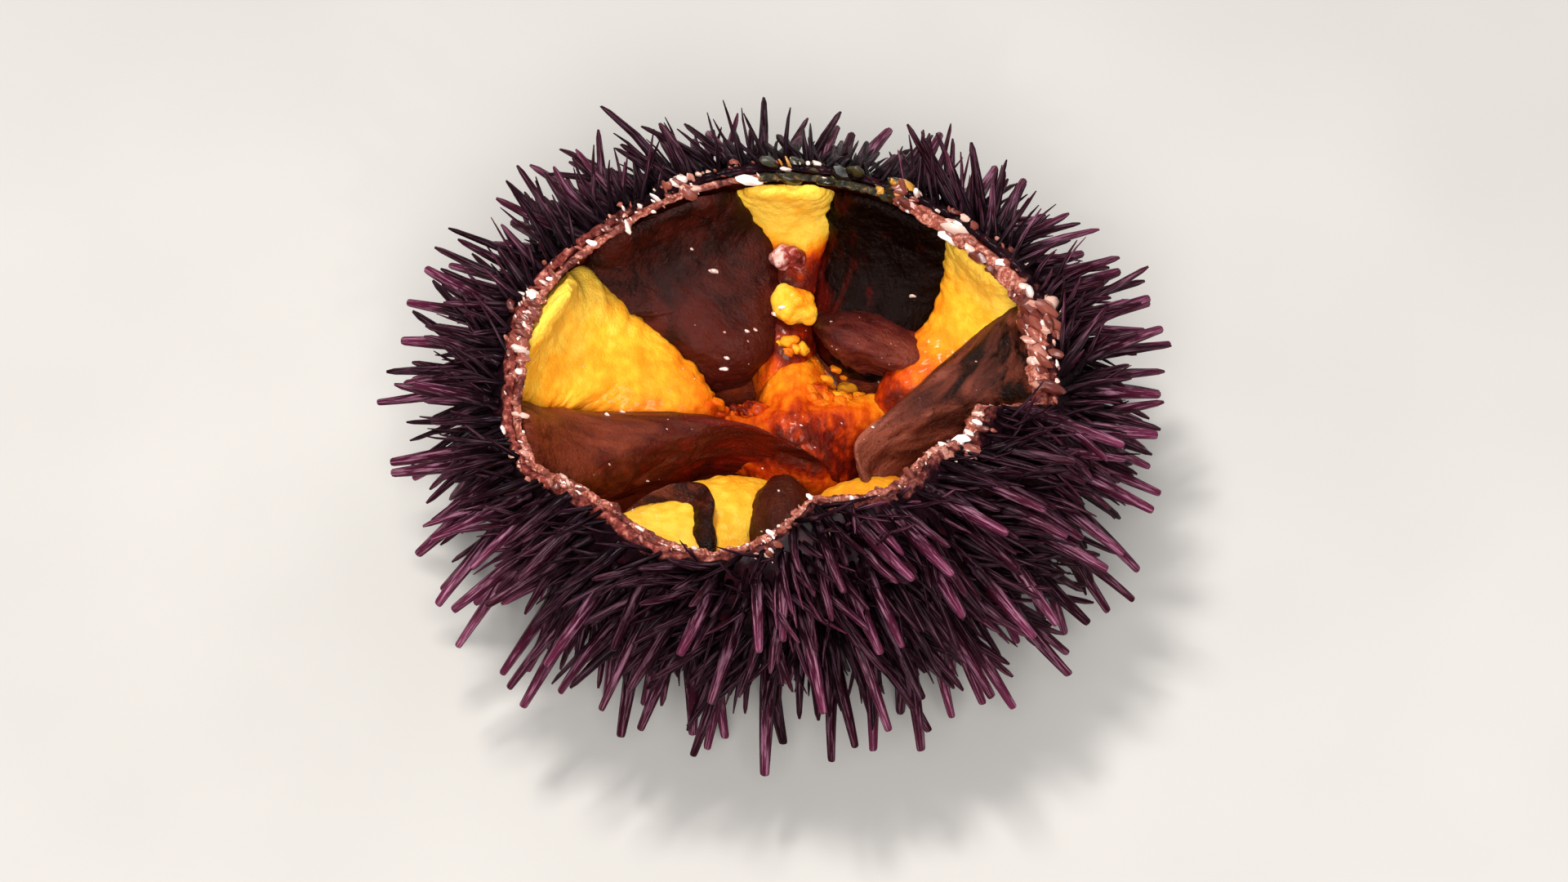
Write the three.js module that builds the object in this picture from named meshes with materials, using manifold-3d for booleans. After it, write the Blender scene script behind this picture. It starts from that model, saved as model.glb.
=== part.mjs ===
// An opened sea urchin: a round test cut open round its mouth, under a skin full of spines, lying on its
// spines with the cut rim up. Five tongues of roe rise from a star of roe on the floor to the rim, with dark
// folds of gut between them.
// Millimetres, +Z up. The origin is under the middle of the test, on the surface that the urchin lies on,
// and +Y points to its back.
import * as THREE from "three";
import { mergeVertices } from "three/addons/utils/BufferGeometryUtils.js";
import Module from "manifold-3d";

// The body is a flattened ellipsoid. A place on it is (theta, phi, depth): theta is the angle round +Z from
// +X, phi rises from -90 degrees at the lowest point, and depth is measured inwards from the skin's face.
const HALF_WIDTH = 33.2;
const HALF_LENGTH = 30.8;
const HALF_HEIGHT = 16.5;
const MIDDLE_Z = 21.5;
const FIVE_LOBES = 0.012; // how far the body swells over each tongue, as a share of its radius
const AROUND = 30; // grid lines round the body
const RINGS = 9; // grid rings from its lowest point to the rim

// What lies inside what, by depth: the skin, the test and the contents. Neighbours keep a gap, and the
// contents a little more.
const GAP = 0.3;
const SKIN = 0.8;
const TEST = { outer: SKIN + GAP, inner: 1.9 };
const CONTENTS = TEST.inner + 0.7;

// Cut rim, in degrees up the test: its usual height, its waves and teeth, the flap of test left standing
// between two angles, and the notches broken out of it.
const RIM_PHI = 27;
const RIM_WAVE = 2;
const TOOTH = 1.6;
const SKIN_BELOW = 2.5; // how far below the rim the skin ends
const FLAP = { from: 267, to: 341, edge: 8, rise: 18.5 };
const NOTCHES = [{ at: 198, half: 8, depth: 11 }, { at: 356, half: 7, depth: 8 }];
const SWELL = { at: 229, half: 13, rise: 5 }; // a low swell of the rim beside the flap

// The skin comes in patches with their own spines: one below, a low row and a high row. A patch is bounded by
// grid lines i and grid rings j, and half a seam is left bare along each edge.
const UNDER = { name: "spines_under", i0: 0, i1: AROUND, j0: 0, j1: 2 };
const LOW = { name: "spines_low", count: 5, first: 5, j0: 2, j1: 5 };
const HIGH = { name: "spines_high", count: 10, first: 0, j0: 5, j1: RINGS };
const SEAM_PHI = 0.4; // half a seam, in degrees

// Contents: roe and gut lie on the test's inner face as pads.
const PAD_GRID = { around: 10, rings: 9 };
const PAD_END = 3; // how square a pad's ends are: 2 is round
const PAD_CROWN = 0.7; // how flat its back is: 1 is round

// The star of roe: the place of its middle, its size without its points, and for each point its angle in
// degrees and how much further it reaches.
const STAR = {
  x: 2.5,
  y: 3.5,
  inner: 7.8,
  height: 7.4,
  half: 27, // degrees either side of a point
  points: [[95, 6.2], [174, 4], [14, 6.2], [312, 0.5]],
};
const STAR_GRID = { around: 25, rings: 6 };

// Two loose lumps, a scrap of roe and a shred of gut: the place in degrees of theta and phi, the height over
// the floor of the contents, and the half sizes.
const SCRAP = { at: 84, phi: -40, lift: 6.2, half: new THREE.Vector3(2.7, 2.3, 1.9) };
const SHRED = { at: 87, phi: -19, lift: 5.2, half: new THREE.Vector3(1.9, 1.2, 1.3) };

// The five tongues of roe: at the back, left, front left, front right and right. A row of a table is
// a place on the middle line, in degrees of theta and phi, then the half width and the thickness there.
const ROE = [
  [[95, -70, 4.6, 6.4], [88, -52, 4.2, 6.0], [87, -30, 4.4, 4.2], [88, 0, 6.6, 3.4], [88, 24, 8.4, 2.6]],
  [[168, -72, 7.0, 6.4], [150, -52, 8.8, 7.2], [152, -18, 11.8, 6.2], [166, 24, 11.5, 3.0]],
  [[270, -82, 7.0, 6.4], [236, -62, 9.0, 7.2], [231, -30, 10, 6.2], [231, 0, 9.4, 4.8], [232, 24, 8.6, 3.2]],
  [[302, -76, 6.0, 6.4], [312, -58, 9.0, 7.0], [314, -30, 9.6, 5.6], [310, 5, 8.2, 4.4], [308, 38, 6.0, 2.8]],
  [[22, -66, 5.0, 6.4], [29, -48, 5.8, 6.6], [33, -25, 7.4, 5.4], [36, 0, 7.8, 4.4], [37, 24, 8.0, 3.2]],
];

// The folds of gut: back left, back right, left, right and front, then one across the floor at the right
// of the middle, and a strand over the front left tongue.
const GUT = [
  [[118, -64, 6.0, 8.4], [112, -48, 10, 9.0], [113, -20, 13.2, 7.5], [120, 23, 12, 2.6]],
  [[62, -60, 6.6, 5.6], [62, -40, 9.0, 6.2], [62, -5, 9.8, 5.2], [62, 24, 8.4, 2.4]],
  [[334, -76, 0.6, 8.2], [240, -88, 0.8, 8.8], [170, -77, 1.5, 9.0], [175, -62, 4.9, 9.2],
    [184, -36, 7.0, 8.6], [191, -5, 9.0, 6.2], [196, 14, 7.6, 3.4]],
  [[316, -58, 1.2, 8.8], [332, -66, 1.4, 9.4], [350, -65, 1.9, 9.4], [4, -57, 3.0, 9.4],
    [14, -40, 5.8, 9.0], [16, -15, 9.6, 8.0], [11, 14, 9.4, 4.6]],
  [[272, -82, 4.2, 7.8], [267, -66, 5.8, 8.6], [270, -38, 6.6, 7.8], [271, 0, 7.2, 5.0], [271, 30, 5.2, 2.4]],
  [[80, -45, 3.0, 9.6], [57, -46, 5.2, 10], [30, -42, 3.6, 9.6]],
  [[208, -43, 0.8, 8.8], [219, -51, 1.0, 9.4], [231, -51, 1.5, 9.6], [240, -40, 2.6, 9.2], [247, -30, 2.8, 8.8]],
];

// Spines: their spacing and length by height on the body, in degrees of phi. They stand closest from its
// widest part up to the rim, and are longest round its middle.
const SPINE_SPACINGS = [
  [-90, 8.6],
  [-45, 6.7],
  [-10, 4.8],
  [50, 4.4],
];
const SPINE_LENGTHS = [
  [-90, 5.6],
  [-60, 8],
  [-25, 11.5],
  [0, 12],
  [18, 11],
  [28, 9],
  [45, 8.5],
];
const SPINE_RADIUS = 0.86;
const SPINE_TIP = 0.5; // the tip's radius as a share of the root's
const SPINE_SIDES = 4;
const SPINE_ROOT = 0.6; // how deep a spine is set in the skin
const SPINE_EDGE = 1.3; // how far its middle stays from the edge of its patch
const SHORTER = [1, 0.85, 0.7, 0.55, 0.4]; // shares of its length, tried till it is clear of other patches
const SPINE_SCATTER = 0.5; // as a share of the spacing

// How far spines lean, as shares of their length: by chance round the body and up it, and under their own
// weight. From the widest part up they are also combed down from the rim, and back from the front.
const SPINE_LEAN = { around: 0.7, up: 0.7, sag: 0.2, down: 1.05, back: 0.4 };
const COMBED = { from: -15, to: 25 }; // degrees of phi between which the combing sets in
const LENGTH_SPREAD = 0.28;
const LONGER = { at: 245, by: 0.08 }; // spines are longer towards this angle and shorter away from it
const RADIUS_SPREAD = 0.3;
const PRESSED = 0.25; // how far the lowest tips would reach below the surface, where they are cut flat
const CORE = SKIN + 0.05; // the depth to which spines are kept out of the body

const DEGREES = Math.PI / 180;
const wasm = await Module();
wasm.setup();

// A fixed pseudo-random number from 0 to 1 for whole numbers n and k.
function draw(n, k) {
  const s = Math.sin(n * 12.9898 + k * 78.233) * 43758.5453;
  return s - Math.floor(s);
}

function smooth(low, high, x) {
  const t = Math.min(1, Math.max(0, (x - low) / (high - low)));
  return t * t * (3 - 2 * t);
}

// Reads a value at x from a list of [x, value] knots, eased between them.
function along(knots, x) {
  if (x <= knots[0][0]) return knots[0][1];
  for (let i = 1; i < knots.length; i++) {
    const [x0, y0] = knots[i - 1];
    const [x1, y1] = knots[i];
    if (x <= x1) return y0 + (y1 - y0) * smooth(x0, x1, x);
  }
  return knots[knots.length - 1][1];
}

function turn(a, b) {
  return Math.atan2(Math.sin(a - b), Math.cos(a - b));
}

function place(theta, phi, depth) {
  const swell = 1 + FIVE_LOBES * Math.cos(5 * (theta - Math.PI / 2));
  return new THREE.Vector3(
    (HALF_WIDTH - depth) * swell * Math.cos(phi) * Math.cos(theta),
    (HALF_LENGTH - depth) * swell * Math.cos(phi) * Math.sin(theta),
    MIDDLE_Z + (HALF_HEIGHT - depth) * Math.sin(phi),
  );
}

function outwards(theta, phi) {
  return new THREE.Vector3(
    (Math.cos(phi) * Math.cos(theta)) / HALF_WIDTH,
    (Math.cos(phi) * Math.sin(theta)) / HALF_LENGTH,
    Math.sin(phi) / HALF_HEIGHT,
  ).normalize();
}

function rimPhi(theta) {
  const degrees = ((theta / DEGREES) % 360 + 360) % 360;
  const wave = 0.6 * Math.sin(3 * theta + 0.6) + 0.4 * Math.sin(8 * theta + 2.1);
  const flap = smooth(FLAP.from - FLAP.edge, FLAP.from + FLAP.edge, degrees)
    - smooth(FLAP.to - FLAP.edge, FLAP.to + FLAP.edge, degrees);
  const swell = Math.exp(-(((degrees - SWELL.at) / SWELL.half) ** 2));
  let phi = RIM_PHI + RIM_WAVE * wave + FLAP.rise * flap + SWELL.rise * swell;
  for (const { at, half, depth } of NOTCHES) {
    phi -= depth * Math.exp(-(((degrees - at) / half) ** 2));
  }
  return phi * DEGREES;
}

// A closed three.js geometry as a manifold-3d solid.
function solidOf(geometry) {
  const bare = geometry.index ? geometry.toNonIndexed() : geometry.clone();
  bare.deleteAttribute("normal");
  bare.deleteAttribute("uv");
  const merged = mergeVertices(bare, 1e-4);
  const corners = merged.index.array;
  const faces = [];
  for (let i = 0; i < corners.length; i += 3) {
    const [a, b, c] = [corners[i], corners[i + 1], corners[i + 2]];
    if (a !== b && b !== c && c !== a) faces.push(a, b, c);
  }
  const mesh = new wasm.Mesh({
    numProp: 3,
    vertProperties: new Float32Array(merged.attributes.position.array),
    triVerts: new Uint32Array(faces),
  });
  const solid = new wasm.Manifold(mesh);
  if (solid.volume() > 0) return solid;
  const turned = faces.map((_, i) => faces[i - (i % 3) + ((3 - (i % 3)) % 3)]);
  mesh.triVerts = new Uint32Array(turned);
  return new wasm.Manifold(mesh);
}

function largestBody(solid) {
  return solid.decompose().reduce((a, b) => (b.volume() > a.volume() ? b : a));
}

function meshOf(solid, name, colour, roughness) {
  const made = solid.getMesh();
  const geometry = new THREE.BufferGeometry();
  geometry.setAttribute("position", new THREE.BufferAttribute(made.vertProperties, 3));
  geometry.setIndex(new THREE.BufferAttribute(made.triVerts, 1));
  geometry.computeVertexNormals();
  const material = new THREE.MeshStandardMaterial({ color: colour, roughness, metalness: 0 });
  const mesh = new THREE.Mesh(geometry, material);
  mesh.name = name;
  return mesh;
}

// Where grid line i runs round the body, in radians, and how high ring j stands on it. Both take an i
// between two lines.
function line(i) {
  return (i / AROUND) * 2 * Math.PI;
}

function level(i, j) {
  const before = Math.floor(i);
  const edge = (k) => rimPhi(line(k)) + TOOTH * DEGREES * (2 * draw(k % AROUND, 3) - 1);
  const top = edge(before) + (i - before) * (edge(before + 1) - edge(before));
  return -Math.PI / 2 + (j / RINGS) * (top + Math.PI / 2);
}

// A closed solid round the axis: a lathe's grid, with point k of line i moved to where(i, k).
function lathed(last, where) {
  const profile = Array.from({ length: last + 1 }, (_, k) => new THREE.Vector2(k % last ? 1 : 0, k));
  const geometry = new THREE.LatheGeometry(profile, AROUND);
  const { position } = geometry.attributes;
  for (let i = 0; i <= AROUND; i++) {
    for (let k = 0; k <= last; k++) {
      const p = where(i % AROUND, k);
      position.setXYZ(i * (last + 1) + k, p.x, p.y, p.z);
    }
  }
  return solidOf(geometry);
}

// A bowl with its top edge on ring j, between two depths, that edge lower by an angle.
function bowl(j, outer, inner, drop) {
  const last = 2 * j + 1;
  return lathed(last, (i, k) => {
    const ring = Math.min(k, last - k);
    const phi = level(i, ring) - (ring === j ? drop : 0);
    return place(line(i), phi, k <= j ? outer : inner);
  });
}

// All that lies within a depth, closed above, to trim the roots of spines with.
function core() {
  const top = new THREE.Vector3(0, 0, MIDDLE_Z + HALF_HEIGHT);
  return lathed(RINGS + 1, (i, k) => (k > RINGS ? top : place(line(i), level(i, k), CORE)));
}

// A patch of skin that doesn't reach all the way round: a bent box.
function bentPatch(part) {
  const { i0, i1, j0, j1 } = part;
  const geometry = new THREE.BoxGeometry(1, 1, 1, i1 - i0, j1 - j0, 1);
  const { position } = geometry.attributes;
  for (let v = 0; v < position.count; v++) {
    const i = i0 + Math.round((position.getX(v) + 0.5) * (i1 - i0));
    const j = j0 + Math.round((position.getY(v) + 0.5) * (j1 - j0));
    const phi = level(i, j) + (j === j0 ? SEAM_PHI : 0) * DEGREES - (j === j1 ? lowered(part) : 0);
    const seam = GAP / 2 / (HALF_LENGTH * Math.cos(phi));
    const theta = line(i) + (i === i0 ? seam : 0) - (i === i1 ? seam : 0);
    const p = place(theta, phi, position.getZ(v) > 0 ? 0 : SKIN);
    position.setXYZ(v, p.x, p.y, p.z);
  }
  return solidOf(geometry);
}

// How far a patch's top edge is below its last ring, in radians.
function lowered({ j1 }) {
  return (j1 === RINGS ? SKIN_BELOW : SEAM_PHI) * DEGREES;
}

// The patches of the skin, still without spines.
function skinParts() {
  const parts = [{ ...UNDER, spines: [] }];
  for (const { name, count, first, j0, j1 } of [LOW, HIGH]) {
    const width = AROUND / count;
    for (let k = 0; k < count; k++) {
      const i0 = first + k * width;
      parts.push({ name: `${name}_${k + 1}`, i0, i1: i0 + width, j0, j1, spines: [] });
    }
  }
  return parts;
}

// Where the spines stand: rings up the body, each with as many spines as its length takes.
function spineSites() {
  const sites = [{ theta: 0, phi: -Math.PI / 2, index: 0 }];
  const steps = 400;
  let walked = 0;
  let ring = 0;
  let before = place(0, -Math.PI / 2, 0);
  for (let i = 1; i < steps; i++) {
    const phi = -Math.PI / 2 + (i / steps) * Math.PI;
    const spacing = along(SPINE_SPACINGS, phi / DEGREES);
    const here = place(0, phi, 0);
    walked += here.distanceTo(before);
    before = here;
    if (walked < spacing) continue;
    walked = 0;
    ring += 1;
    const round = Math.PI * Math.cos(phi) * (HALF_WIDTH + HALF_LENGTH);
    const count = Math.round(round / spacing);
    for (let j = 0; j < count; j++) {
      const index = ring * 1000 + j;
      const slip = 0.5 * (ring % 2) + SPINE_SCATTER * (draw(index, 1) - 0.5);
      const theta = ((j + slip) / count) * 2 * Math.PI;
      const lift = (SPINE_SCATTER * spacing * (draw(index, 2) - 0.5)) / HALF_HEIGHT;
      sites.push({ theta, phi: phi + lift, index });
    }
  }
  return sites;
}

// The patch that a site lies on, and the site moved in from its edges.
function settled({ theta, phi, index }, parts) {
  const i = (((theta / 2 / Math.PI) * AROUND) % AROUND + AROUND) % AROUND;
  const up = SPINE_EDGE / Math.hypot(HALF_WIDTH * Math.sin(phi), HALF_HEIGHT * Math.cos(phi));
  for (const part of parts) {
    const { i0, i1, j0, j1 } = part;
    const at = i < i0 ? i + AROUND : i;
    const low = j0 ? level(at, j0) : -Math.PI;
    const high = level(at, j1) - (j1 === RINGS ? lowered(part) : 0);
    if (at > i1 || phi < low || phi >= high) continue;
    const height = Math.min(high - up, Math.max(low + up, phi));
    const aside = (SPINE_EDGE / (HALF_LENGTH * Math.cos(height)) / 2 / Math.PI) * AROUND;
    const across = part.name === UNDER.name ? at : Math.min(i1 - aside, Math.max(i0 + aside, at));
    return { part, theta: line(across), phi: height, index };
  }
  return null;
}

// A spine's root, direction, length and radius, at a share of its length. It leans by chance, sags a little,
// and is turned outwards where it would run into the surface below the urchin.
function spineLine({ theta, phi, index }, share) {
  const root = place(theta, phi, 0);
  const normal = outwards(theta, phi);
  const around = new THREE.Vector3(-Math.sin(theta), Math.cos(theta), 0);
  const up = new THREE.Vector3().crossVectors(normal, around);
  const direction = normal.clone();
  const combed = smooth(COMBED.from, COMBED.to, phi / DEGREES);
  const back = SPINE_LEAN.back * combed * Math.cos(theta);
  if (index > 0) {
    direction.addScaledVector(around, SPINE_LEAN.around * (draw(index, 4) - 0.5) + back);
    direction.addScaledVector(up, SPINE_LEAN.up * (draw(index, 5) - 0.5) - SPINE_LEAN.down * combed);
    direction.z -= SPINE_LEAN.sag;
  }
  direction.normalize();
  const longer = 1 + LONGER.by * Math.cos(theta - LONGER.at * DEGREES);
  const spread = 1 + LENGTH_SPREAD * (draw(index, 6) - 0.5);
  const length = share * along(SPINE_LENGTHS, phi / DEGREES) * longer * spread;
  const steepest = -(root.z + PRESSED) / length;
  if (index > 0 && direction.z < steepest) {
    const across = Math.sqrt(1 - steepest * steepest) / Math.hypot(direction.x, direction.y);
    direction.set(direction.x * across, direction.y * across, steepest);
  }
  const radius = SPINE_RADIUS * (1 + RADIUS_SPREAD * (draw(index, 7) - 0.5));
  return { root, direction, length, radius, index };
}

// Whether two spines keep a gap between them, tried at points along the first.
function clear(a, b) {
  const axis = new THREE.Line3(b.root, b.root.clone().addScaledVector(b.direction, b.length));
  const nearest = new THREE.Vector3();
  for (let k = 0; k <= 8; k++) {
    const p = a.root.clone().addScaledVector(a.direction, (k / 8) * a.length);
    axis.closestPointToPoint(p, true, nearest);
    if (p.distanceTo(nearest) < a.radius + b.radius + GAP) return false;
  }
  return true;
}

// Gives each patch its spines. One that would cross a spine of another patch is made shorter, or left out.
function plantSpines(parts) {
  for (const site of spineSites()) {
    const held = settled(site, parts);
    if (!held) continue;
    const others = parts.filter((part) => part !== held.part).flatMap((part) => part.spines);
    const tries = SHORTER.map((share) => spineLine(held, share));
    const fitting = tries.find((spine) => others.every((other) => clear(spine, other)));
    if (fitting) held.part.spines.push(fitting);
  }
}

// One spine: a blunt taper of few sides, its root sunk in the skin.
function spineSolid({ root, direction, length, radius, index }) {
  const profile = [
    new THREE.Vector2(0, -SPINE_ROOT),
    new THREE.Vector2(radius, -SPINE_ROOT),
    new THREE.Vector2(radius * SPINE_TIP, length),
    new THREE.Vector2(0, length),
  ];
  const geometry = new THREE.LatheGeometry(profile, SPINE_SIDES, draw(index, 8) * Math.PI);
  geometry.applyQuaternion(
    new THREE.Quaternion().setFromUnitVectors(new THREE.Vector3(0, 1, 0), direction),
  );
  geometry.translate(root.x, root.y, root.z);
  return solidOf(geometry);
}

// A patch of skin with its spines, cut flat where they stand on the surface below.
function spinyPatch(part) {
  const bare = part.name === UNDER.name ? bowl(part.j1, 0, SKIN, lowered(part)) : bentPatch(part);
  const joined = wasm.Manifold.union([bare, ...part.spines.map(spineSolid)]);
  const floor = new THREE.BoxGeometry(200, 200, 20).translate(0, 0, -10);
  return largestBody(joined.subtract(core()).subtract(solidOf(floor)));
}

// A smooth run of numbers through the rows of a table, at share t of the way from its first to its last.
// The run is a Catmull-Rom spline.
function run(rows, t) {
  const at = t * (rows.length - 1);
  const i = Math.min(rows.length - 2, Math.floor(at));
  const [b, c] = [rows[i], rows[i + 1]];
  const a = rows[i - 1] ?? b.map((value, k) => 2 * value - c[k]);
  const d = rows[i + 2] ?? c.map((value, k) => 2 * value - b[k]);
  const x = at - i;
  return b.map((value, k) => value + (x / 2) * (c[k] - a[k]
    + x * (2 * a[k] - 5 * value + 4 * c[k] - d[k] + x * (3 * (value - c[k]) + d[k] - a[k]))));
}

// The floor of the contents is drawn flat as a round chart, the lowest point in the middle: a place lies
// phi + 90 degrees from there, towards its theta.
function chart(theta, phi) {
  return [(phi + 90) * Math.cos(theta * DEGREES), (phi + 90) * Math.sin(theta * DEGREES)];
}

function offChart(u, v, rise) {
  const phi = (Math.hypot(u, v) - 90) * DEGREES;
  return place(Math.atan2(v, u), phi, CONTENTS + rise);
}

// Millimetres for one degree of the chart at a place, in a direction.
function chartScale(u, v, direction) {
  const away = Math.max(1e-3, Math.hypot(u, v)) * DEGREES;
  const radial = Math.hypot(HALF_WIDTH * Math.cos(away), HALF_HEIGHT * Math.sin(away));
  const round = (HALF_WIDTH * Math.sin(away)) / away;
  const lean = direction - Math.atan2(v, u);
  return DEGREES * Math.hypot(radial * Math.cos(lean), round * Math.sin(lean));
}

// A pad lying on that floor, along the middle line that its table gives, larger all round by grow.
function pad(table, grow = 0) {
  const rows = table.map(([theta, phi, half, thick]) => [...chart(theta, phi), half, thick]);
  const geometry = new THREE.SphereGeometry(1, PAD_GRID.around, PAD_GRID.rings);
  const { position, uv } = geometry.attributes;
  for (let i = 0; i < position.count; i++) {
    const t = 1 - uv.getY(i);
    const end = 2 * t - 1;
    const [u, v, half, thick] = run(rows, t);
    const [u0, v0] = run(rows, Math.max(0, t - 0.02));
    const [u1, v1] = run(rows, Math.min(1, t + 0.02));
    const ahead = Math.atan2(v1 - v0, u1 - u0);
    const aside = ahead + Math.PI / 2;
    const round = (1 - Math.abs(end) ** PAD_END) ** (1 / PAD_END);
    const turned = uv.getX(i) * 2 * Math.PI;
    const across = (Math.cos(turned) * round * (half + grow)) / chartScale(u, v, aside);
    const onward = (grow * end) / chartScale(u, v, ahead);
    const front = Math.sin(turned);
    const rise = round * (front > 0 ? (thick + grow) * front ** PAD_CROWN : grow * front);
    const p = offChart(
      u + across * Math.cos(aside) + onward * Math.cos(ahead),
      v + across * Math.sin(aside) + onward * Math.sin(ahead),
      rise,
    );
    position.setXYZ(i, p.x, p.y, p.z);
  }
  return solidOf(geometry);
}

// The star of roe on the floor, a low heap with points towards the tongues.
function star(grow = 0) {
  const geometry = new THREE.SphereGeometry(1, STAR_GRID.around, STAR_GRID.rings);
  const { position, uv } = geometry.attributes;
  for (let i = 0; i < position.count; i++) {
    const theta = uv.getX(i) * 2 * Math.PI;
    const slope = (1 - uv.getY(i)) * Math.PI;
    const points = STAR.points.map(([at, reach]) =>
      reach * Math.exp(-((turn(theta, at * DEGREES) / STAR.half / DEGREES) ** 2)));
    const reach = (STAR.inner + Math.max(...points) + grow) * Math.sin(slope);
    const height = Math.cos(slope) > 0 ? STAR.height + grow : grow;
    const x = (STAR.x + reach * Math.cos(theta)) / HALF_WIDTH;
    const y = (STAR.y + reach * Math.sin(theta)) / HALF_LENGTH;
    const depth = CONTENTS + height * Math.cos(slope);
    const p = place(Math.atan2(y, x), -Math.acos(Math.hypot(x, y)), depth);
    position.setXYZ(i, p.x, p.y, p.z);
  }
  return solidOf(geometry);
}

// A loose lump lying over the back tongue and the folds beside it, larger all round by grow.
function lump({ at, phi, lift, half }, grow = 0) {
  const middle = place(at * DEGREES, phi * DEGREES, CONTENTS + lift);
  const geometry = new THREE.IcosahedronGeometry(1, 1);
  const { position } = geometry.attributes;
  for (let i = 0; i < position.count; i++) {
    const p = new THREE.Vector3().fromBufferAttribute(position, i);
    const bulge = 1 + 0.16 * Math.sin(4 * p.x + 1) * Math.cos(3 * p.y);
    p.multiply(half.clone().addScalar(grow)).multiplyScalar(bulge).add(middle);
    position.setXYZ(i, p.x, p.y, p.z);
  }
  return solidOf(geometry);
}

function build() {
  const urchin = new THREE.Group();
  const parts = skinParts();
  plantSpines(parts);
  urchin.add(meshOf(bowl(RINGS, TEST.outer, TEST.inner, 0), "test", 0xb08078, 0.7));
  parts.forEach((part) => urchin.add(meshOf(spinyPatch(part), part.name, 0x4a2348, 0.5)));
  urchin.add(meshOf(star(), "roe_star", 0xd06a10, 0.4));
  let taken = star(GAP).add(bowl(RINGS, TEST.outer, TEST.inner + GAP, 0));
  const lay = (solid, larger, name, colour, roughness) => {
    urchin.add(meshOf(largestBody(solid.subtract(taken)), name, colour, roughness));
    taken = taken.add(larger);
  };
  ROE.forEach((table, k) => lay(pad(table), pad(table, GAP), `roe_${k + 1}`, 0xf0a020, 0.4));
  GUT.forEach((table, k) => lay(pad(table), pad(table, GAP), `gut_${k + 1}`, 0x3a120c, 0.2));
  lay(lump(SCRAP), lump(SCRAP, GAP), "roe_scrap", 0xe8b040, 0.4);
  lay(lump(SHRED), lump(SHRED, GAP), "gut_shred", 0x6a2018, 0.2);
  return urchin;
}

export default build();
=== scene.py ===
from collections import namedtuple
from math import cos, hypot, pi, radians, sin, sqrt

import bmesh
import bpy
import numpy as np
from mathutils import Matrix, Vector
from mathutils.bvhtree import BVHTree
from numpy.linalg import norm


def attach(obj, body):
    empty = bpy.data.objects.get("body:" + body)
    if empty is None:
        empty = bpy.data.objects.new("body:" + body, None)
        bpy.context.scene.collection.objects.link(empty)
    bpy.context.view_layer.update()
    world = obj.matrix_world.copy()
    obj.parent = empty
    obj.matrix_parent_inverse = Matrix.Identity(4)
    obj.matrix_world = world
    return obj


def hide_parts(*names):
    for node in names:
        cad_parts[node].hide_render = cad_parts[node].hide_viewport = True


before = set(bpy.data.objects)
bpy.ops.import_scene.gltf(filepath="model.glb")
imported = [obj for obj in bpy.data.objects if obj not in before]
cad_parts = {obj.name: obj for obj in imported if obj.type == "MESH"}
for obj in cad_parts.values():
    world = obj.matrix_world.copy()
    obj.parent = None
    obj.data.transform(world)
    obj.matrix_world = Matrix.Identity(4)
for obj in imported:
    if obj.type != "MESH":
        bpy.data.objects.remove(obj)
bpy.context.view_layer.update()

# An opened sea urchin. Lengths are in millimetres until a mesh is made. theta is round +Z and phi up from
# level, in radians, and in degrees in tables and where a comment says so. Its form follows the part's source.
MM = 0.001

# ---------------- sizes
# The body is an egg with five slight lobes. Its grid has lines round it and rings up to the rim.
HALF_WIDTH, HALF_LENGTH, HALF_HEIGHT, MIDDLE_Z = 33.2, 30.8, 16.5, 21.5
FIVE_LOBES = 0.012
AROUND, RINGS = 30, 9
# Depths below the face of the skin, and the gap between solids.
GAP, SKIN = 0.3, 0.8
TEST_OUTER, TEST_INNER = SKIN + GAP, 1.9
CONTENTS = TEST_INNER + 0.7

# The rim, in degrees: its height, waves, teeth, the skin's edge below it, and the flap that still stands.
RIM_PHI, RIM_WAVE, TOOTH, SKIN_BELOW = 27, 2, 1.6, 2.5
RIM_WAVES = [(3, 0.6, 0.6), (8, 0.4, 2.1)]  # how many round, share of the wave, start in radians
FLAP_FROM, FLAP_TO, FLAP_EDGE, FLAP_RISE = 267, 341, 8, 18.5
NOTCHES = [(198, 8, 11), (356, 7, 8)]  # degrees round, half width, depth
SWELL_AT, SWELL_HALF, SWELL_RISE = 229, 13, 5

# Rows of patches of skin: the first grid line, how many patches, and the rings that they lie between.
PATCHES = [(0, 1, 0, 2), (5, 5, 2, 5), (0, 10, 5, RINGS)]

STAR = {"x": 2.5, "y": 3.5, "inner": 7.8, "height": 7.4, "half": 27}
STAR_POINTS = [(95, 6.2), (174, 4), (14, 6.2), (312, 0.5)]  # degrees round, reach
# Loose lumps: degrees of theta and phi, how far above the contents' bed, half sizes.
SCRAP = (84, -40, 6.2, (2.7, 2.3, 1.9))
SHRED = (87, -19, 5.2, (1.9, 1.2, 1.3))
ROOM = 0.12  # how much each piece of the contents grows when the next ones are cut by it

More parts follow.
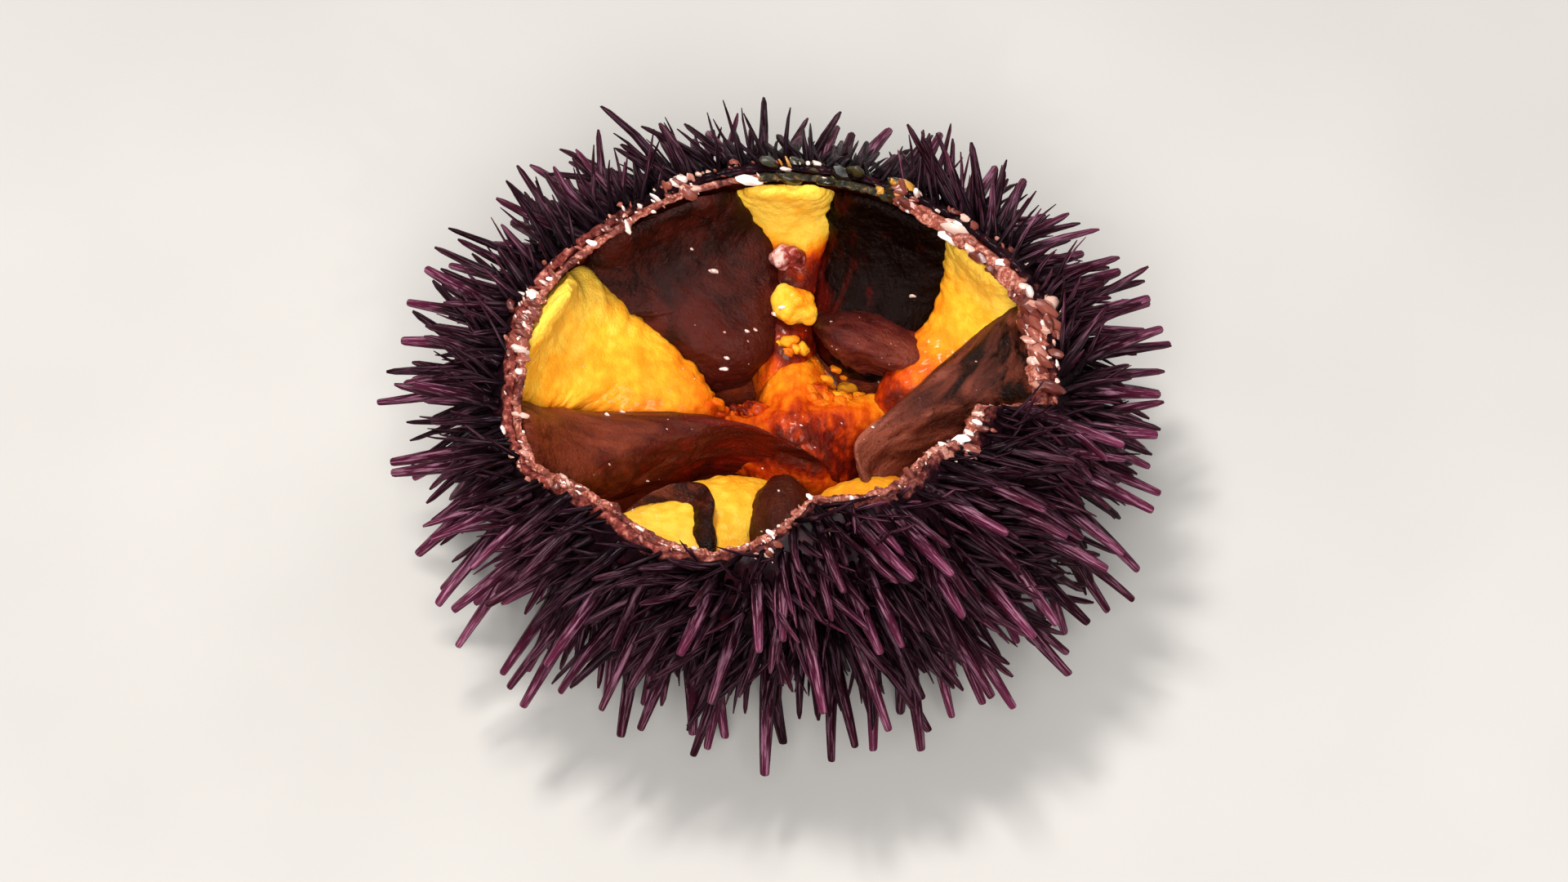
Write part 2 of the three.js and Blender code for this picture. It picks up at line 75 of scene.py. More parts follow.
# Rows of [theta, phi, half width, thickness] along a pad, the angles in degrees.
ROE = [
    [[95, -70, 4.6, 6.4], [88, -52, 4.2, 6], [87, -30, 4.4, 4.2], [88, 0, 6.6, 3.4], [88, 24, 8.4, 2.6]],
    [[168, -72, 7, 6.4], [150, -52, 8.8, 7.2], [152, -18, 11.8, 6.2], [166, 24, 11.5, 3]],
    [[270, -82, 7, 6.4], [236, -62, 9, 7.2], [231, -30, 10, 6.2], [231, 0, 9.4, 4.8], [232, 24, 8.6, 3.2]],
    [[302, -76, 6, 6.4], [312, -58, 9, 7], [314, -30, 9.6, 5.6], [310, 5, 8.2, 4.4], [308, 38, 6, 2.8]],
    [[22, -66, 5, 6.4], [29, -48, 5.8, 6.6], [33, -25, 7.4, 5.4], [36, 0, 7.8, 4.4], [37, 24, 8, 3.2]],
]
GUT = [
    [[118, -64, 6, 8.4], [112, -48, 10, 9], [113, -20, 13.2, 7.5], [120, 23, 12, 2.6]],
    [[62, -60, 6.6, 5.6], [62, -40, 9, 6.2], [62, -5, 9.8, 5.2], [62, 24, 8.4, 2.4]],
    [[334, -76, 0.6, 8.2], [240, -88, 0.8, 8.8], [170, -77, 1.5, 9], [175, -62, 4.9, 9.2],
     [184, -36, 7, 8.6], [191, -5, 9, 6.2], [196, 14, 7.6, 3.4]],
    [[316, -58, 1.2, 8.8], [332, -66, 1.4, 9.4], [350, -65, 1.9, 9.4], [4, -57, 3, 9.4], [14, -40, 5.8, 9],
     [16, -15, 9.6, 8], [11, 14, 9.4, 4.6]],
    [[272, -82, 4.2, 7.8], [267, -66, 5.8, 8.6], [270, -38, 6.6, 7.8], [271, 0, 7.2, 5], [271, 30, 5.2, 2.4]],
    [[80, -45, 3, 9.6], [57, -46, 5.2, 10], [30, -42, 3.6, 9.6]],
    [[208, -43, 0.8, 8.8], [219, -51, 1, 9.4], [231, -51, 1.5, 9.6], [240, -40, 2.6, 9.2],
     [247, -30, 2.8, 8.8]],
]

# The long, short and fine spines. Leans are shares of their length.
SPINES = {
    # Spacing and length by height on the body, in degrees of phi.
    "spacings": (
        [(-90, 8.6), (-45, 6.7), (-10, 4.8), (50, 4.4)],
        [(-90, 4.2), (-40, 3), (0, 2.5), (50, 2.1)],
        [(-90, 3), (-40, 2.2), (0, 1.5), (50, 1.25)]),
    "lengths": (
        [(-90, 5.6), (-60, 8), (-25, 11.5), (0, 12), (18, 11), (28, 9), (45, 8.5)],
        [(-90, 3.4), (-60, 5), (-25, 7.5), (0, 8), (28, 7), (45, 6.5)],
        [(-90, 2.4), (-60, 3), (-25, 4.5), (0, 5.2), (45, 5)]),
    "radius": (0.86, 0.62, 0.28),
    "darkness": (0.75, 2.2, 2.6),  # the exponent of their tint
    # How much of their place, length and radius is left to chance, and of their lean round and up the body.
    "scatter": (0.5, 0.9, 1),
    "length_spread": (0.28, 0.7, 0.9),
    "radius_spread": (0.3, 0.5, 0.5),
    "around": (0.7, 0.9, 1.3),
    "up": (0.7, 0.8, 1.2),
    # How far they sag, are combed down from the rim and back from the front, and swirl and bend in bunches.
    "sag": (0.2, 0.2, 0.2),
    "down": (1.05, 1.1, 0.45),
    "back": (0.4, 0.5, 0.6),
    "swirl": (0, 1.1, 0.8),
    "bend": (0.12, 0.3, 0.35),
    "stand": (0, 0.9, 0.8),  # how far those at the back stand up
    "below": (0, 2.5, 1),  # how far below the rim they keep, in degrees
    "away": (0, 0.8, 0.5),  # how far from the roots of larger kinds
    "seed": (0, 60, 160),
    "sides": (16, 8, 5),
    "flutes": (8, 4, 1),
    "flute_depth": (0.16, 0.12, 0),
    # Rows of (share of the length, millimetres added, share of the radius).
    "profile": (
        [(0, -0.6, 1), (0, 0, 1.05), (0, 0.35, 0.86), (0, 0.7, 0.8), (0, 1, 1.02), (0, 1.3, 1.08),
         (0, 1.6, 0.96), (0.3, 0.9, 0.92), (0.5, 0.4, 0.82), (0.7, 0.2, 0.71), (0.9, 0, 0.58),
         (1, -0.3, 0.52), (1, -0.08, 0.42), (1, 0, 0.2)],
        [(0, -0.5, 1), (0, 0.3, 1), (0, 0.6, 1.2), (0.25, 0.3, 0.95), (0.6, 0, 0.75), (0.92, 0, 0.5),
         (1, 0, 0.22)],
        [(0, -0.4, 1), (0.4, 0, 0.9), (0.8, 0, 0.6), (1, 0, 0.25)]),
}
Kind = namedtuple("Kind", SPINES)
LONG, SHORT, FINE = map(Kind, *SPINES.values())
LONGER_AT, LONGER_BY = 245, 0.08  # spines are longer towards this angle and shorter away from it
LONGER_STANDING = 0.35  # and longer by this share where they stand up
COMBED_FROM, COMBED_TO = -15, 25  # degrees of phi between which the combing sets in
SPINE_EDGE, PRESSED = 1.3, 0.25  # roots keep inside a patch's edges, and tips are pressed flat on the floor
SHORTER = [1, 0.85, 0.7, 0.55, 0.4]  # shares of their length that long spines try, to keep clear of others
BETWEEN = 0.8  # the share of those that the part's solids leave out
BUNCH_SIZE, SHADE_SIZE = 7, 9.0  # how large the bunches are, and the patches of darker spines
# A spine's lines give its ridges their bumps and set where its painted highlights fall.
STREAK_STRETCH, STREAK_STEP = 0.12, 7.1  # how drawn out a spine's lines are, and where each one's start

# Along the rim, as (degrees round, value) knots: how much the broken edge thickens inwards, the size of the
# bits on it, the share of them that are white, the flesh at the skin's edge, and the share that lie loose.
RIM_GRAINS = 900
RIM_LIP = [(0, 1.2), (48, 0.8), (66, 0.2), (110, 0), (150, 0), (200, -0.1), (262, -0.3), (320, -0.1),
           (342, 0.7), (360, 1.2)]
RIM_BITS = [(0, 2), (60, 1.7), (90, 1.5), (130, 1), (180, 1.2), (215, 0.8), (262, 0.8), (330, 1.2), (360, 2)]
RIM_WHITE = [(0, 0.5), (60, 0.4), (110, 0.45), (180, 0.3), (260, 0.25), (320, 0.4), (360, 0.5)]
RIM_FLESH = [(0, 0.5), (60, 0.2), (115, 0.3), (150, 1), (235, 1), (262, 0.6), (345, 0.6), (360, 0.5)]
RIM_LOOSE = [(0, 0.15), (50, 0.35), (70, 0.6), (100, 0.6), (135, 0.15), (200, 0.15), (300, 0.1), (360, 0.15)]


# ---------------- the body
def draw(n, k):
    """A fixed pseudo-random number from 0 to 1 for whole numbers n and k."""
    s = np.sin(np.asarray(n) * 12.9898 + np.asarray(k) * 78.233) * 43758.5453
    return s - np.floor(s)


def smooth(low, high, x):
    t = np.clip((x - low) / (high - low), 0, 1)
    return t * t * (3 - 2 * t)


def along(knots, x):
    """Reads a value at x from (x, value) knots, eased between them."""
    value = np.full(np.shape(x), float(knots[0][1]))
    for (x0, y0), (x1, y1) in zip(knots, knots[1:]):
        value = np.where(x > x0, y0 + (y1 - y0) * smooth(x0, x1, x), value)
    return value


def turns(count):
    return np.arange(count) / count * 2 * pi


def stacked(*parts):
    return np.stack(np.broadcast_arrays(*parts), axis=-1)


def place(theta, phi, depth):
    """A place on the body: its angle round +Z, its angle up, and its depth below the skin's face."""
    swell = 1 + FIVE_LOBES * np.cos(5 * (theta - pi / 2))
    x = (HALF_WIDTH - depth) * swell * np.cos(phi) * np.cos(theta)
    y = (HALF_LENGTH - depth) * swell * np.cos(phi) * np.sin(theta)
    return stacked(x, y, MIDDLE_Z + (HALF_HEIGHT - depth) * np.sin(phi))


def outwards(theta, phi):
    n = stacked(np.cos(phi) * np.cos(theta) / HALF_WIDTH, np.cos(phi) * np.sin(theta) / HALF_LENGTH,
                np.sin(phi) / HALF_HEIGHT)
    return n / norm(n, axis=-1, keepdims=True)


def degrees_round(points):
    return np.degrees(np.arctan2(points[:, 1], points[:, 0])) % 360


def rim_phi(theta):
    degrees = np.degrees(theta) % 360
    wave = sum(share * np.sin(count * theta + start) for count, share, start in RIM_WAVES)
    flap = smooth(FLAP_FROM - FLAP_EDGE, FLAP_FROM + FLAP_EDGE, degrees)
    flap = flap - smooth(FLAP_TO - FLAP_EDGE, FLAP_TO + FLAP_EDGE, degrees)
    phi = RIM_PHI + RIM_WAVE * wave + FLAP_RISE * flap
    phi = phi + SWELL_RISE * np.exp(-(((degrees - SWELL_AT) / SWELL_HALF) ** 2))
    for at, half, depth in NOTCHES:
        phi = phi - depth * np.exp(-(((degrees - at) / half) ** 2))
    return np.radians(phi)


def line(i):
    """The angle of grid line i."""
    return i / AROUND * 2 * pi


def gridded(theta):
    return theta / 2 / pi * AROUND % AROUND


def top_edge(i):
    """How high the rim stands at grid line i."""
    before = np.floor(i)

    def edge(k):
        return rim_phi(line(k)) + radians(TOOTH) * (2 * draw(k % AROUND, 3) - 1)

    return edge(before) + (i - before) * (edge(before + 1) - edge(before))


def level(i, j):
    """How high ring j lies at grid line i."""
    return -pi / 2 + j / RINGS * (top_edge(i) + pi / 2)


# ---------------- noise and meshes
def hashed(cell, seed):
    """Pseudo-random numbers from 0 to 1 for cells (..., 3)."""
    s = np.sin(cell @ np.array([127.1, 311.7, 74.7]) + seed * 19.19) * 43758.5453
    return s - np.floor(s)


def noise(points, size, seed=0):
    """Smooth noise from -1 to 1, its features about size across."""
    q = points / size + 100
    cell = np.floor(q)
    f = q - cell
    f = f * f * (3 - 2 * f)
    total = 0
    for corner in np.ndindex(2, 2, 2):
        weight = np.prod(np.where(corner, f, 1 - f), axis=-1)
        total = total + weight * hashed(cell + corner, seed)
    return 2 * total - 1


def grains(points, size, seed=0, stray=0.8, edge=0.6):
    """Rounded grains about size across: 1 at a grain's middle and 0 between grains."""
    q = points / size + 100
    cell = np.floor(q)
    nearest = np.full(points.shape[:-1], np.inf)
    for step in np.ndindex(3, 3, 3):
        other = cell + np.array(step) - 1
        chance = stacked(*(hashed(other, seed + k) for k in (1, 2, 3)))
        middle = other + 0.5 + stray * (chance - 0.5)
        nearest = np.minimum(nearest, ((q - middle) ** 2).sum(axis=-1))
    return np.clip(1 - nearest / edge, 0, 1)


def normals(rows):
    """Normals of rows of points, which close up round their columns."""
    across = np.roll(rows, -1, axis=1) - np.roll(rows, 1, axis=1)
    n = np.cross(across, np.gradient(rows, axis=0))
    return n / (norm(n, axis=-1, keepdims=True) + 1e-12)


def raised(rows, height):
    """Rows of a closed body, each point moved out by its height."""
    n = normals(rows)
    middle = rows.reshape(-1, 3).mean(axis=0)
    n = n * np.sign(((rows - middle) * n).sum(axis=-1).mean())
    return rows + n * height[..., None]


def closed(rows):
    """Points and faces of a body through rows of points, drawn together at both ends."""
    n, m, _ = rows.shape
    points = np.vstack([rows.reshape(-1, 3), rows[0].mean(axis=0), rows[-1].mean(axis=0)])
    i = np.arange(n - 1)[:, None] * m
    j = np.arange(m)[None, :]
    k = (j + 1) % m
    quads = stacked(i + j, i + k, i + m + k, i + m + j).reshape(-1, 4)
    j, k, last = j[0], k[0], (n - 1) * m
    ends = np.concatenate([stacked(k, j, n * m), stacked(last + j, last + k, n * m + 1)])
    a, b, c, d = (points[quads[:, corner]] for corner in range(4))
    if (a * np.cross(b, c) + a * np.cross(c, d)).sum() < 0:  # six times the volume
        quads, ends = quads[:, ::-1], ends[:, ::-1]
    return points, quads.tolist() + ends.tolist()


def linked(name, data):
    made = bpy.data.objects.new(name, data)
    bpy.context.scene.collection.objects.link(made)
    return made


def mesh_object(name, points, faces):
    mesh = bpy.data.meshes.new(name)
    mesh.from_pydata((points * MM).tolist(), [], faces)
    mesh.validate()
    return linked(name, mesh)


def points_of(piece):
    points = np.zeros(len(piece.data.vertices) * 3)
    piece.data.vertices.foreach_get("co", points)
    return points.reshape(-1, 3) / MM


def give(piece, name, values):
    """Stores a number for each point of a piece, for its material."""
    attribute = piece.data.attributes.new(name, "FLOAT", "POINT")
    attribute.data.foreach_set("value", np.broadcast_to(values, len(piece.data.vertices)).astype(np.float32))


def finished(piece, slot, material, *nodes, sharp=60):
    """Dresses a piece, hangs it on the root body, and hides the CAD nodes that it stands for."""
    piece.data.materials.clear()
    piece.data.materials.append(material)
    piece.data.shade_smooth()
    piece.data.set_sharp_from_angle(angle=radians(sharp))
    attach(piece, "root")
    if nodes:
        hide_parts(*nodes)
    return piece


# ---------------- materials
def srgb(*levels):
    """A colour given as 0 to 255 sRGB levels, as Blender wants it."""
    c = np.array(levels) / 255
    c = np.where(c <= 0.04045, c / 12.92, ((c + 0.055) / 1.055) ** 2.4)
    return (*c.tolist(), 1)


class Shader:
    """A Principled material, and short ways to add its nodes."""

    def __init__(self, name, specular=0.5, tint=(255, 255, 255), coat=(0, 0), depth=(0, (1, 1, 1), 1)):
        """coat is weight and roughness, and depth the subsurface's weight, radius and scale in mm."""
        self.material = bpy.data.materials.new(name)
        self.material.use_nodes = True
        self.tree = self.material.node_tree
        self.bsdf = self.tree.nodes["Principled BSDF"]
        sockets = ("Specular IOR Level", "Specular Tint", "Coat Weight", "Coat Roughness",
                   "Subsurface Weight", "Subsurface Radius", "Subsurface Scale")
        for socket, value in zip(sockets, (specular, srgb(*tint), *coat, *depth[:2], depth[2] * MM)):
            self.bsdf.inputs[socket].default_value = value
        self.where = self.tree.nodes.new("ShaderNodeTexCoord").outputs["Object"]

    def node(self, kind, inputs, output=0, **properties):
        made = self.tree.nodes.new("ShaderNode" + kind)
        for key, value in properties.items():
            setattr(made, key, value)
        for socket, value in inputs.items():
            self.feed(made.inputs[socket], value)
        return made.outputs[output]

    def feed(self, socket, value):
        if isinstance(value, bpy.types.NodeSocket):
            self.tree.links.new(value, socket)
        else:
            socket.default_value = value

    def noise(self, size, detail=3, rough=0.55, stretch=1, way=0, warp=0):
        """Noise from 0 to 1 with features about size mm across, drawn out towards way degrees round +Z."""
        drawn_out = self.node("Mapping", {
            "Vector": self.where, "Rotation": (0, 0, radians(way)), "Scale": (stretch, 1, 1)},
            vector_type="TEXTURE")
        return self.node("TexNoise", {
            "Vector": drawn_out, "Scale": 1 / (size * MM), "Detail": detail, "Roughness": rough,
            "Distortion": warp}, "Fac")

    def cells(self, size):
        """The distance to the middle of the nearest grain, each about size mm across."""
        return self.node("TexVoronoi", {"Vector": self.where, "Scale": 1 / (size * MM), "Smoothness": 0.6},
                         "Distance", feature="SMOOTH_F1")

    def stored(self, name):
        return self.node("Attribute", {}, "Fac", attribute_name=name)

    def sums(self, a, b, operation="ADD"):
        return self.node("Math", {0: a, 1: b}, operation=operation)

    def span(self, value, low, high, to_low=0, to_high=1):
        return self.node("MapRange", {
            "Value": value, "From Min": low, "From Max": high, "To Min": to_low, "To Max": to_high})

    def vary(self, size, low, high, **kind):
        """A value that wanders between low and high, over about size mm."""
        return self.span(self.noise(size, **kind), 0.3, 0.7, low, high)

    def ramp(self, factor, *stops):
        made = self.node("ValToRGB", {"Fac": factor}, "Color")
        elements = made.node.color_ramp.elements
        elements.remove(elements[1])
        elements[0].position, elements[0].color = stops[0][0], srgb(*stops[0][1])
        for position, colour in stops[1:]:
            elements.new(position).color = srgb(*colour)
        return made

    def mix(self, factor, a, b, blend="MIX"):
        a, b = (srgb(*value) if isinstance(value, tuple) else value for value in (a, b))
        return self.node("Mix", {0: factor, 6: a, 7: b}, 2, data_type="RGBA", blend_type=blend)

    def bump(self, height, distance, under=None):
        inputs = {"Height": height, "Distance": distance * MM}
        if under is not None:
            inputs["Normal"] = under
        return self.node("Bump", inputs)

    def finish(self, **outputs):
        names = {"colour": "Base Color", "roughness": "Roughness", "normal": "Normal", "coat": "Coat Normal"}
        for key, value in outputs.items():
            self.feed(self.bsdf.inputs[names[key]], value)
        return self.material


def spine_material():
    """Damp red-purple, near black at the root, with painted pale mauve highlights in lines along it."""
    s = Shader("spines", specular=0.1, tint=(225, 150, 190), coat=(0.05, 0.18))
    run, tint = s.stored("run"), s.stored("tint")
    body = s.ramp(run, (0, (8, 1, 2)), (0.28, (24, 6, 10)), (0.6, (66, 21, 38)), (1, (104, 44, 68)))
    shade = s.ramp(tint, (0, (58, 36, 40)), (0.3, (120, 86, 96)), (0.7, (226, 196, 216)),
                   (1, (255, 250, 255)))
    colour = s.mix(1, body, shade, "MULTIPLY")
    lines = s.node("TexNoise", {
        "Vector": s.node("Attribute", {}, "Vector", attribute_name="local"),
        "Scale": 2.6, "Detail": 3, "Roughness": 0.6}, "Fac")
    # Painted highlight: pale mauve lines along each spine, stronger towards the tip and on lighter spines.
    painted_highlight = s.sums(s.span(lines, 0.5, 0.66), s.span(run, 0.1, 0.5, 0.1, 0.8), "MULTIPLY")
    painted_highlight = s.sums(painted_highlight, s.span(tint, 0.15, 0.8, 0.25, 1), "MULTIPLY")
    colour = s.mix(painted_highlight, colour, (170, 116, 140))
    return s.finish(colour=colour, roughness=s.vary(1.2, 0.34, 0.62),
                    normal=s.bump(lines, 0.16, under=s.bump(s.noise(0.28, detail=2), 0.06)))


def skin_material():
    """Near black, with torn flesh along its upper edge."""
    s = Shader("skin", specular=0.06, tint=(225, 150, 190), coat=(0.05, 0.2))
    colour = s.ramp(s.noise(2.4, detail=4), (0.3, (7, 2, 3)), (0.55, (20, 6, 10)), (0.75, (58, 16, 22)))
    flesh = s.ramp(s.noise(0.8, detail=4), (0.35, (54, 16, 15)), (0.55, (124, 56, 48)),
                   (0.72, (196, 128, 112)))
    edge = s.span(s.sums(s.stored("edge"), s.noise(1.2, detail=3)), 0.95, 1.4)
    return s.finish(colour=s.mix(edge, colour, flesh), roughness=s.vary(0.8, 0.4, 0.75),
                    normal=s.bump(s.noise(0.5, detail=4), 0.2))


def test_material():
    """Dark and wet, chalky pink along the broken rim and dark again at its back."""
    s = Shader("test", specular=0.15, coat=(0.1, 0.2))
    inside = s.ramp(s.noise(2.2, detail=4), (0.3, (60, 14, 6)), (0.7, (130, 46, 16)))
    chalk = s.ramp(s.noise(0.45, detail=4, rough=0.65), (0.3, (84, 28, 22)), (0.5, (150, 76, 60)),
                   (0.66, (206, 148, 130)), (0.78, (240, 212, 198)))
    wet = s.ramp(s.noise(0.6, detail=3), (0.35, (44, 10, 8)), (0.7, (120, 50, 42)))
    chalk = s.mix(s.span(s.noise(2.6, detail=3), 0.5, 0.6), chalk, wet)
    edge = s.span(s.sums(s.stored("edge"), s.sums(s.noise(0.9), 0.5, "MULTIPLY")), 0.6, 0.9)
    crust = s.ramp(s.noise(0.7, detail=4), (0.35, (14, 12, 6)), (0.6, (52, 44, 22)), (0.72, (150, 96, 40)))
    dark = s.span(s.sums(s.stored("back"), s.noise(1.4, detail=3)), 0.75, 1)
    colour = s.mix(edge, inside, s.mix(dark, chalk, crust))
    return s.finish(colour=colour, roughness=s.span(edge, 0, 1, 0.3, 0.6),
                    normal=s.bump(s.noise(0.25, detail=3), 0.12))


def grain_material():
    """Chalky pink to white, with green-black and some roe at the back of the rim."""
    s = Shader("rim_grains", coat=(0.3, 0.15), depth=(0.15, (1, 0.6, 0.5), 0.6))
    body = s.ramp(s.stored("tint"), (0, (12, 12, 6)), (0.16, (62, 54, 22)), (0.2, (206, 146, 58)),
                  (0.28, (200, 130, 50)), (0.32, (88, 30, 24)), (0.6, (160, 86, 70)), (0.8, (216, 166, 148)),
                  (1, (250, 236, 228)))
    return s.finish(colour=body, roughness=s.vary(0.4, 0.25, 0.5))


def roe_material(name, streaky):
    """Warm yellow to dark red with its depth, and streaks towards the back, as strong as streaky."""
    s = Shader(name, specular=0.2, tint=(255, 215, 170), coat=(0.12, 0.12),
               depth=(0.3, (1, 0.42, 0.1), 1.2))
    heat = s.sums(s.stored("deep"), s.vary(3.6, -0.12, 0.12, detail=5, rough=0.6))
    heat = s.sums(heat, s.span(s.cells(1.3), 0.1, 0.75, -0.05, 0.08))
    streaks = s.noise(1.3, detail=4, stretch=4.5, way=90, warp=0.6)
    heat = s.sums(heat, s.span(streaks, 0.35, 0.65, -streaky, streaky))
    colour = s.ramp(heat, (0, (255, 204, 74)), (0.2, (250, 174, 42)), (0.4, (243, 144, 24)),
                    (0.55, (232, 116, 16)), (0.68, (212, 86, 9)), (0.8, (176, 52, 6)), (0.9, (130, 26, 5)),
                    (1, (84, 14, 8)))
    fine = s.noise(0.35, detail=3, rough=0.6)
    return s.finish(colour=colour, roughness=s.vary(1.1, 0.32, 0.55), normal=s.bump(fine, 0.14))


def gut_material(name, look):
    """Wet and dark, with a look's colours in streaks, and fine wrinkles under a coat."""
    s = Shader(name, specular=0.05, tint=(255, 150, 120), coat=(look.gloss, 0.08),
               depth=(0.06, (1, 0.3, 0.2), 0.6))
    flow = s.noise(look.size, detail=5, rough=0.6, stretch=look.stretch, way=look.way, warp=0.5)
    shade = s.sums(s.sums(s.stored("deep"), 0.5, "MULTIPLY"), s.span(flow, 0.3, 0.7, 0.05, 0.7))
    colour = s.ramp(shade, (0.3, look.dark), (0.62, look.middle), (0.95, look.light))
    speck = s.span(s.noise(0.5, detail=2), 0.6, 0.72, 0, 0.6)
    colour = s.mix(speck, colour, look.dark)
    wrinkles = s.bump(s.noise(1, detail=4, stretch=look.stretch, way=look.way), 0.35)
    fine = s.bump(s.noise(0.4, detail=4, rough=0.65), 0.24, under=wrinkles)
    return s.finish(colour=colour, roughness=s.vary(1.6, 0.22, 0.45), normal=fine, coat=fine)


# ---------------- test, skin and rim
def bowl(name, outer, inner, drop, columns, outside, across, seed, lip=((0, 0), (360, 0))):
    """A bowl, its points' degrees round +Z, and how near its edge they are, from 0 to 1.

    Its edge is drop degrees below the rim, and lip is how much thicker it gets there, as (degrees round, mm)
    knots. outside and across are how many rows its outside and its edge have.
    """
    jagged, crowned = radians(0.9), radians(0.7)
    bottom, thickens, rough = 0.02, 0.92, 0.34
    i = np.arange(columns) / columns * AROUND
    theta = line(i)
    rim = place(theta, top_edge(i), 0)
    jag = 0.55 * noise(rim, 1.1, seed) + 0.45 * noise(rim, 0.5, seed + 1)
    top = top_edge(i) - radians(drop) + jagged * jag
    share = np.linspace(bottom, 1, outside) ** 0.9
    up = -pi / 2 + share[:, None] * (top[None] + pi / 2)
    thick = along(lip, np.degrees(theta))
    thick = thick * (1 + 0.35 * noise(rim, 2.2, seed + 4) + 0.3 * noise(rim, 0.8, seed + 5))
    lipped = inner + thick[None] * smooth(thickens, 1, share)[:, None]
    outer_rows = place(theta[None], up, outer)
    inner_rows = place(theta[None], up, lipped)[::-1]
    turn = np.linspace(0, pi, across + 2)[1:-1][:, None]
    depth = outer + (inner + thick[None] - outer) * (0.5 - 0.5 * np.cos(turn))
    edge_rows = place(theta[None], top[None] + crowned * np.sin(turn), depth)
    rows = np.concatenate([outer_rows, edge_rows, inner_rows])
    edge = np.concatenate([smooth(0.965, 1, share), np.ones(across), smooth(0.955, 1, share)[::-1]])
    edge = np.repeat(edge[:, None], columns, axis=1)
    bumps = 0.5 * noise(rows, 1.3, seed + 2) + 0.5 * noise(rows, 0.45, seed + 3)
    height = rough * bumps * (0.25 + 0.75 * edge)
    points, faces = closed(rows + normals(rows) * height[..., None])
    return mesh_object(name, points, faces), degrees_round(points), np.append(edge, [0, 0])


def at_the_back(degrees):
    """Where the rim carries its dark crust, from 0 to 1."""
    return smooth(56, 66, degrees) * (1 - smooth(90, 98, degrees))


def make_test():
    piece, degrees, edge = bowl("test_shell", TEST_OUTER, TEST_INNER, 0, columns=600, outside=70, across=9,
                                seed=11, lip=RIM_LIP)
    give(piece, "edge", edge)
    give(piece, "back", at_the_back(degrees))
    return finished(piece, "test", test_material(), "test")


def make_skin(nodes):
    """One skin, which reaches a little higher than the patches that it stands for."""
    piece, degrees, edge = bowl("skin", 0.05, TEST_OUTER - 0.1, SKIN_BELOW - 1.2, columns=480, outside=80,
                                across=4, seed=31)
    give(piece, "edge", edge * along(RIM_FLESH, degrees))
    finished(piece, "spines", skin_material(), *nodes)


def lumps(middles, sizes, seed, subdivisions=2, uneven=0.5):
    """Points and faces of many lumps, one at each middle, and how many points each has."""
    ball = bmesh.new()
    bmesh.ops.create_icosphere(ball, subdivisions=subdivisions, radius=1)
    unit = np.array([v.co for v in ball.verts])
    unit_faces = np.array([[v.index for v in f.verts] for f in ball.faces])
    ball.free()
    points, faces = [], []
    for k, (middle, size) in enumerate(zip(middles, sizes)):
        axis = Vector(draw(k, seed + np.arange(3)))
        matrix = np.array(Vector((0, 0, 1)).rotation_difference(axis.normalized()).to_matrix())
        bulge = 1 + uneven * noise(unit * 1.1 + k * 3.7, 0.9, seed)
        points.append(middle + (unit * bulge[:, None] * size) @ matrix.T)
        faces.append(unit_faces + k * len(unit))
    return np.concatenate(points), np.concatenate(faces).tolist(), len(unit)


def make_rim_grains():
    """Broken plates and crumbs of test along the rim, in bunches."""
    k = np.arange(RIM_GRAINS)
    theta = (k + draw(k, 42)) / RIM_GRAINS * 2 * pi
    theta = theta + 0.16 * np.sin(7 * theta + 2) + 0.06 * np.sin(23 * theta)
    degrees = np.degrees(theta) % 360
    wide = along(RIM_LIP, degrees)
    depth = TEST_OUTER - 0.5 + (TEST_INNER + 0.5 + wide - TEST_OUTER) * draw(k, 43)
    fall = radians(1.2) * draw(k, 44) + radians(1.4) * np.abs(depth - 1.5) / 1.5
    loose = draw(k, 52) < along(RIM_LOOSE, degrees)
    fall = np.where(loose, radians(9) * draw(k, 53) ** 1.5, fall)
    depth = np.where(loose, -0.1, depth)
    middles = place(theta, top_edge(gridded(theta)) - fall + radians(0.6), depth)
    big = along(RIM_BITS, degrees)
    size = (big * (0.16 + 0.5 * draw(k, 45) ** 3))[:, None]
    size = size * (0.7 + 0.6 * draw(k[:, None], (46, 47, 48)))
    points, faces, each = lumps(middles, size * (1.3, 1, 0.6), 51)
    piece = mesh_object("rim_grains", points, faces)
    white = draw(k, 54) < along(RIM_WHITE, degrees)
    pink = np.where(white, 0.8 + 0.2 * draw(k, 49), 0.32 + 0.4 * draw(k, 49))
    crust = 0.28 * draw(k, 49) ** 1.6
    dark = draw(k, 50) < 0.85 * at_the_back(degrees)
    give(piece, "tint", np.repeat(np.where(dark, crust, pink), each))
    finished(piece, "test", grain_material(), sharp=40)


# ---------------- spines
def ring_sites(kind):
    """Places in rings up the body, each ring as full as its length: theta, phi and a whole number."""
    sites = [(0, -pi / 2, 0)]
    steps, walked, ring = 400, 0, 0
    before = place(0, -pi / 2, 0)
    for i in range(1, steps):
        phi = -pi / 2 + i / steps * pi
        spacing = float(along(kind.spacings, np.degrees(phi)))
        here = place(0, phi, 0)
        walked += norm(here - before)
        before = here
        if walked < spacing:
            continue
        walked, ring = 0, ring + 1
        count = round(pi * cos(phi) * (HALF_WIDTH + HALF_LENGTH) / spacing)
        j = np.arange(count)
        index = ring * 1000 + j
        slip = 0.5 * (ring % 2) + kind.scatter * (draw(index, kind.seed + 1) - 0.5)
        lift = kind.scatter * spacing * (draw(index, kind.seed + 2) - 0.5) / HALF_HEIGHT
        sites += zip((j + slip) / count * 2 * pi, phi + lift, index)
    return sites


